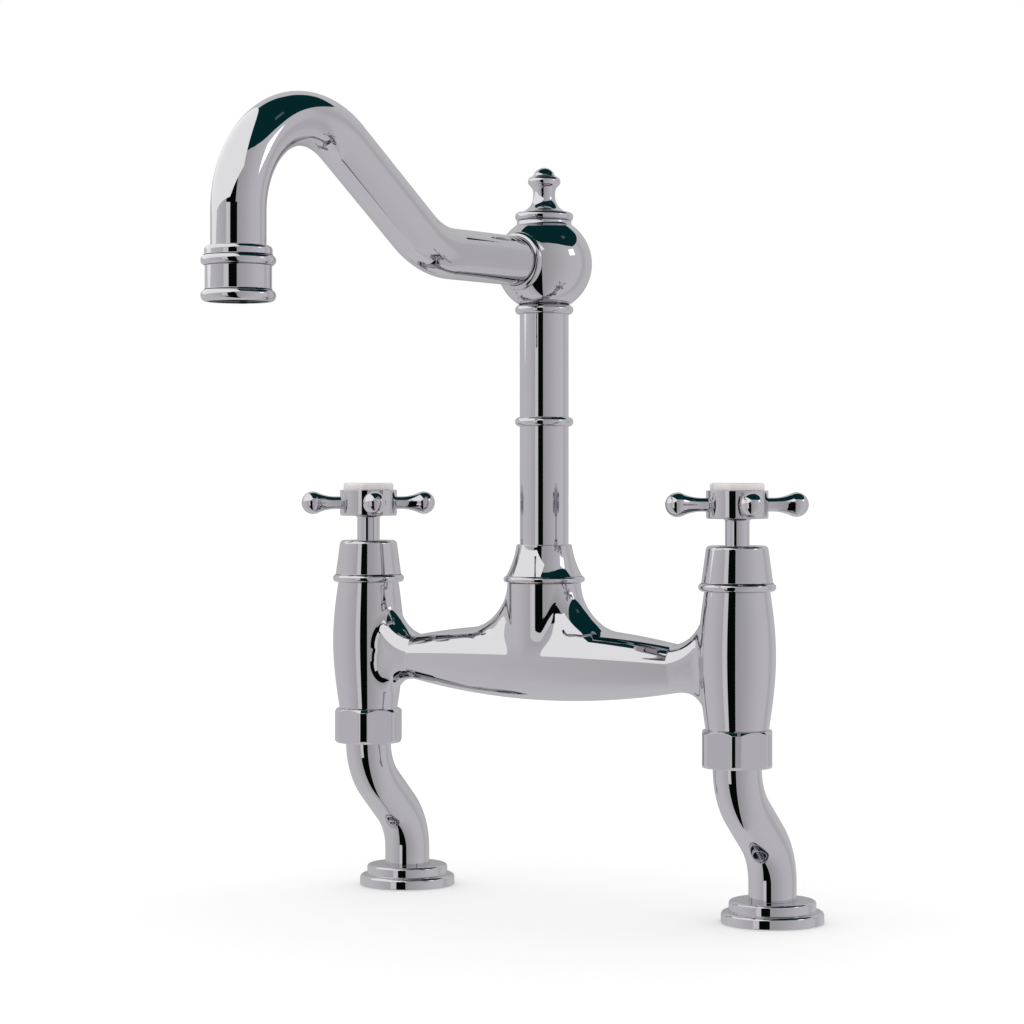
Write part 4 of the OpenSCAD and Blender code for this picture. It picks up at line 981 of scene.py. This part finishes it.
left = add_node(
    tree, "ShaderNodeVectorMath", {0: way, 1: tuple(towards_left)}, operation="DOT_PRODUCT"
).outputs["Value"]
bearing = add_node(tree, "ShaderNodeMath", {0: left, 1: ahead}, operation="ARCTAN2").outputs[0]
share = add_node(
    tree, "ShaderNodeMapRange", {"Value": bearing, "From Min": -math.pi, "From Max": math.pi}
).outputs["Result"]
around = grey_ramp(tree, share, [((b + 180) / 360, grey) for b, grey in WALL_LEVELS], COOL_TINT)
behind = add_node(
    tree, "ShaderNodeMapRange", {"Value": ahead, "From Min": -1.0, "From Max": 0.0}
).outputs["Result"]
shade = grey_ramp(tree, behind, BACK_DIMMING)
mix = add_node(
    tree, "ShaderNodeMix", {"Factor": 1.0, 6: around, 7: shade}, data_type="RGBA",
    blend_type="MULTIPLY",
)
tree.links.new(mix.outputs[2], light.inputs["Color"])
WALL_TOPS = (
    (-180, 58), (-165, 52), (-155, 45), (-145, 42), (-135, 37), (-115, 36), (-95, 34), (-85, 33),
    (-65, 38), (-45, 44), (-30, 47), (-20, 49), (-8, 50), (8, 50), (25, 55), (48, 57), (100, 55),
    (125, 53), (145, 56), (180, 58),
)
bearings, tops = zip(*WALL_TOPS)
WALL_REACH, CEILING_REACH, FLAG_REACH, CARD_REACH = 3.2, 3.4, 1.1, 1.08
LAMP_REACH, SKY_REACH = 1.0, 3.0
hang("tent_wall", bearings, [-90] * len(bearings), tops, WALL_REACH, wall)
ceiling = glow("dark_ceiling", (0.003, 0.034, 0.037))[0]
hang("tent_ceiling", (-180, 180), (30, 30), (90, 90), CEILING_REACH, ceiling, step=6)


def board(name, corners, material):
    """A flat board from four corners, in metres from the spout's column at the worktop: towards
    the camera, towards the picture's left, and up."""
    foot = np.array([0, VALVE_Y * MM, 0])
    points = [
        (foot + ahead * towards_camera + left * towards_left + np.array([0, 0, up])).tolist()
        for ahead, left, up in corners
    ]
    mesh = bpy.data.meshes.new(name)
    mesh.from_pydata(points, [], [(0, 1, 2, 3)])
    mesh.materials.append(material)
    for_gloss_only(name, mesh)


pale = glow("pale_reflector", (1.3, 1.32, 1.27))[0]
board("wide_reflector", (
    (0.96, 0.57, 0.55), (-0.21, 0.89, 0.28), (-0.42, 0.32, 0.48), (0.755, -0.01, 0.75),
), pale)
# The flag and the card hang a little over a metre away. The flag shows above the card and below
# it, as one dark sheet with the card in front.
black = glow("black_flag", (0.003, 0.004, 0.004))[0]
hang("flag_beside_camera", (3.5, 28.5), (-90, -90), (16.5, 16.5), FLAG_REACH, black)
hang("flag_foot", (28.5, 44), (-90, -90), (-29, -29), FLAG_REACH, black)
hang("flag_top", (9, 44), (16, 16), (36, 33), FLAG_REACH, black)
narrow = glow("narrow_card", (0.92, 0.92, 0.92))[0]
hang("card_beside_flag", (29, 44), (-29.5, -29.5), (16.5, 16.5), CARD_REACH, narrow)
lamp = glow("small_lamp", (2.2, 2.2, 2.2))[0]
hang("lamp_on_right", (-85, -69), (22, 22), (33, 33), LAMP_REACH, lamp)
dim = glow("dim_skylight", (0.105, 0.15, 0.16))[0]
hang("skylight", (-86, -72), (52, 52), (58, 58), SKY_REACH, dim)

world = bpy.data.worlds.new("white_world")
world.use_nodes = True
world.node_tree.nodes["Background"].inputs["Color"].default_value = (1, 1, 1, 1)
world.node_tree.nodes["Background"].inputs["Strength"].default_value = 1.0
bpy.context.scene.world = world
bpy.context.scene.view_settings.view_transform = "Standard"

# The floor is white matt card. It takes the shadow, and shows the camera white away from it: a
# trace of glow for the camera alone makes up for what the faucet hides of the sky. Reflections
# show the foot of the tent in its place.
FLOOR_HALF, FLOOR_DROP, FLOOR_LIFT = 60.0, 0.0002, 0.05
floor_material = bpy.data.materials.new("white_matt_card")
floor_material.use_nodes = True
tree = floor_material.node_tree
tree.nodes.clear()
matt = add_node(tree, "ShaderNodeBsdfDiffuse", {"Color": (1, 1, 1, 1)})
seen = add_node(tree, "ShaderNodeLightPath").outputs["Is Camera Ray"]
lift = add_node(tree, "ShaderNodeMath", {0: seen, 1: FLOOR_LIFT}, operation="MULTIPLY").outputs[0]
clean = add_node(tree, "ShaderNodeEmission", {"Color": (1, 1, 1, 1), "Strength": lift})
both = add_node(tree, "ShaderNodeAddShader", {0: matt.outputs[0], 1: clean.outputs[0]})
add_node(tree, "ShaderNodeOutputMaterial", {"Surface": both.outputs[0]})
mesh = bpy.data.meshes.new("floor")
mesh.from_pydata(
    [(-FLOOR_HALF, -FLOOR_HALF, 0), (FLOOR_HALF, -FLOOR_HALF, 0),
     (FLOOR_HALF, FLOOR_HALF, 0), (-FLOOR_HALF, FLOOR_HALF, 0)], [], [(0, 1, 2, 3)]
)
mesh.materials.append(floor_material)
floor = bpy.data.objects.new("floor", mesh)
floor.location.z = -FLOOR_DROP
floor.visible_glossy = False
bpy.context.scene.collection.objects.link(floor)
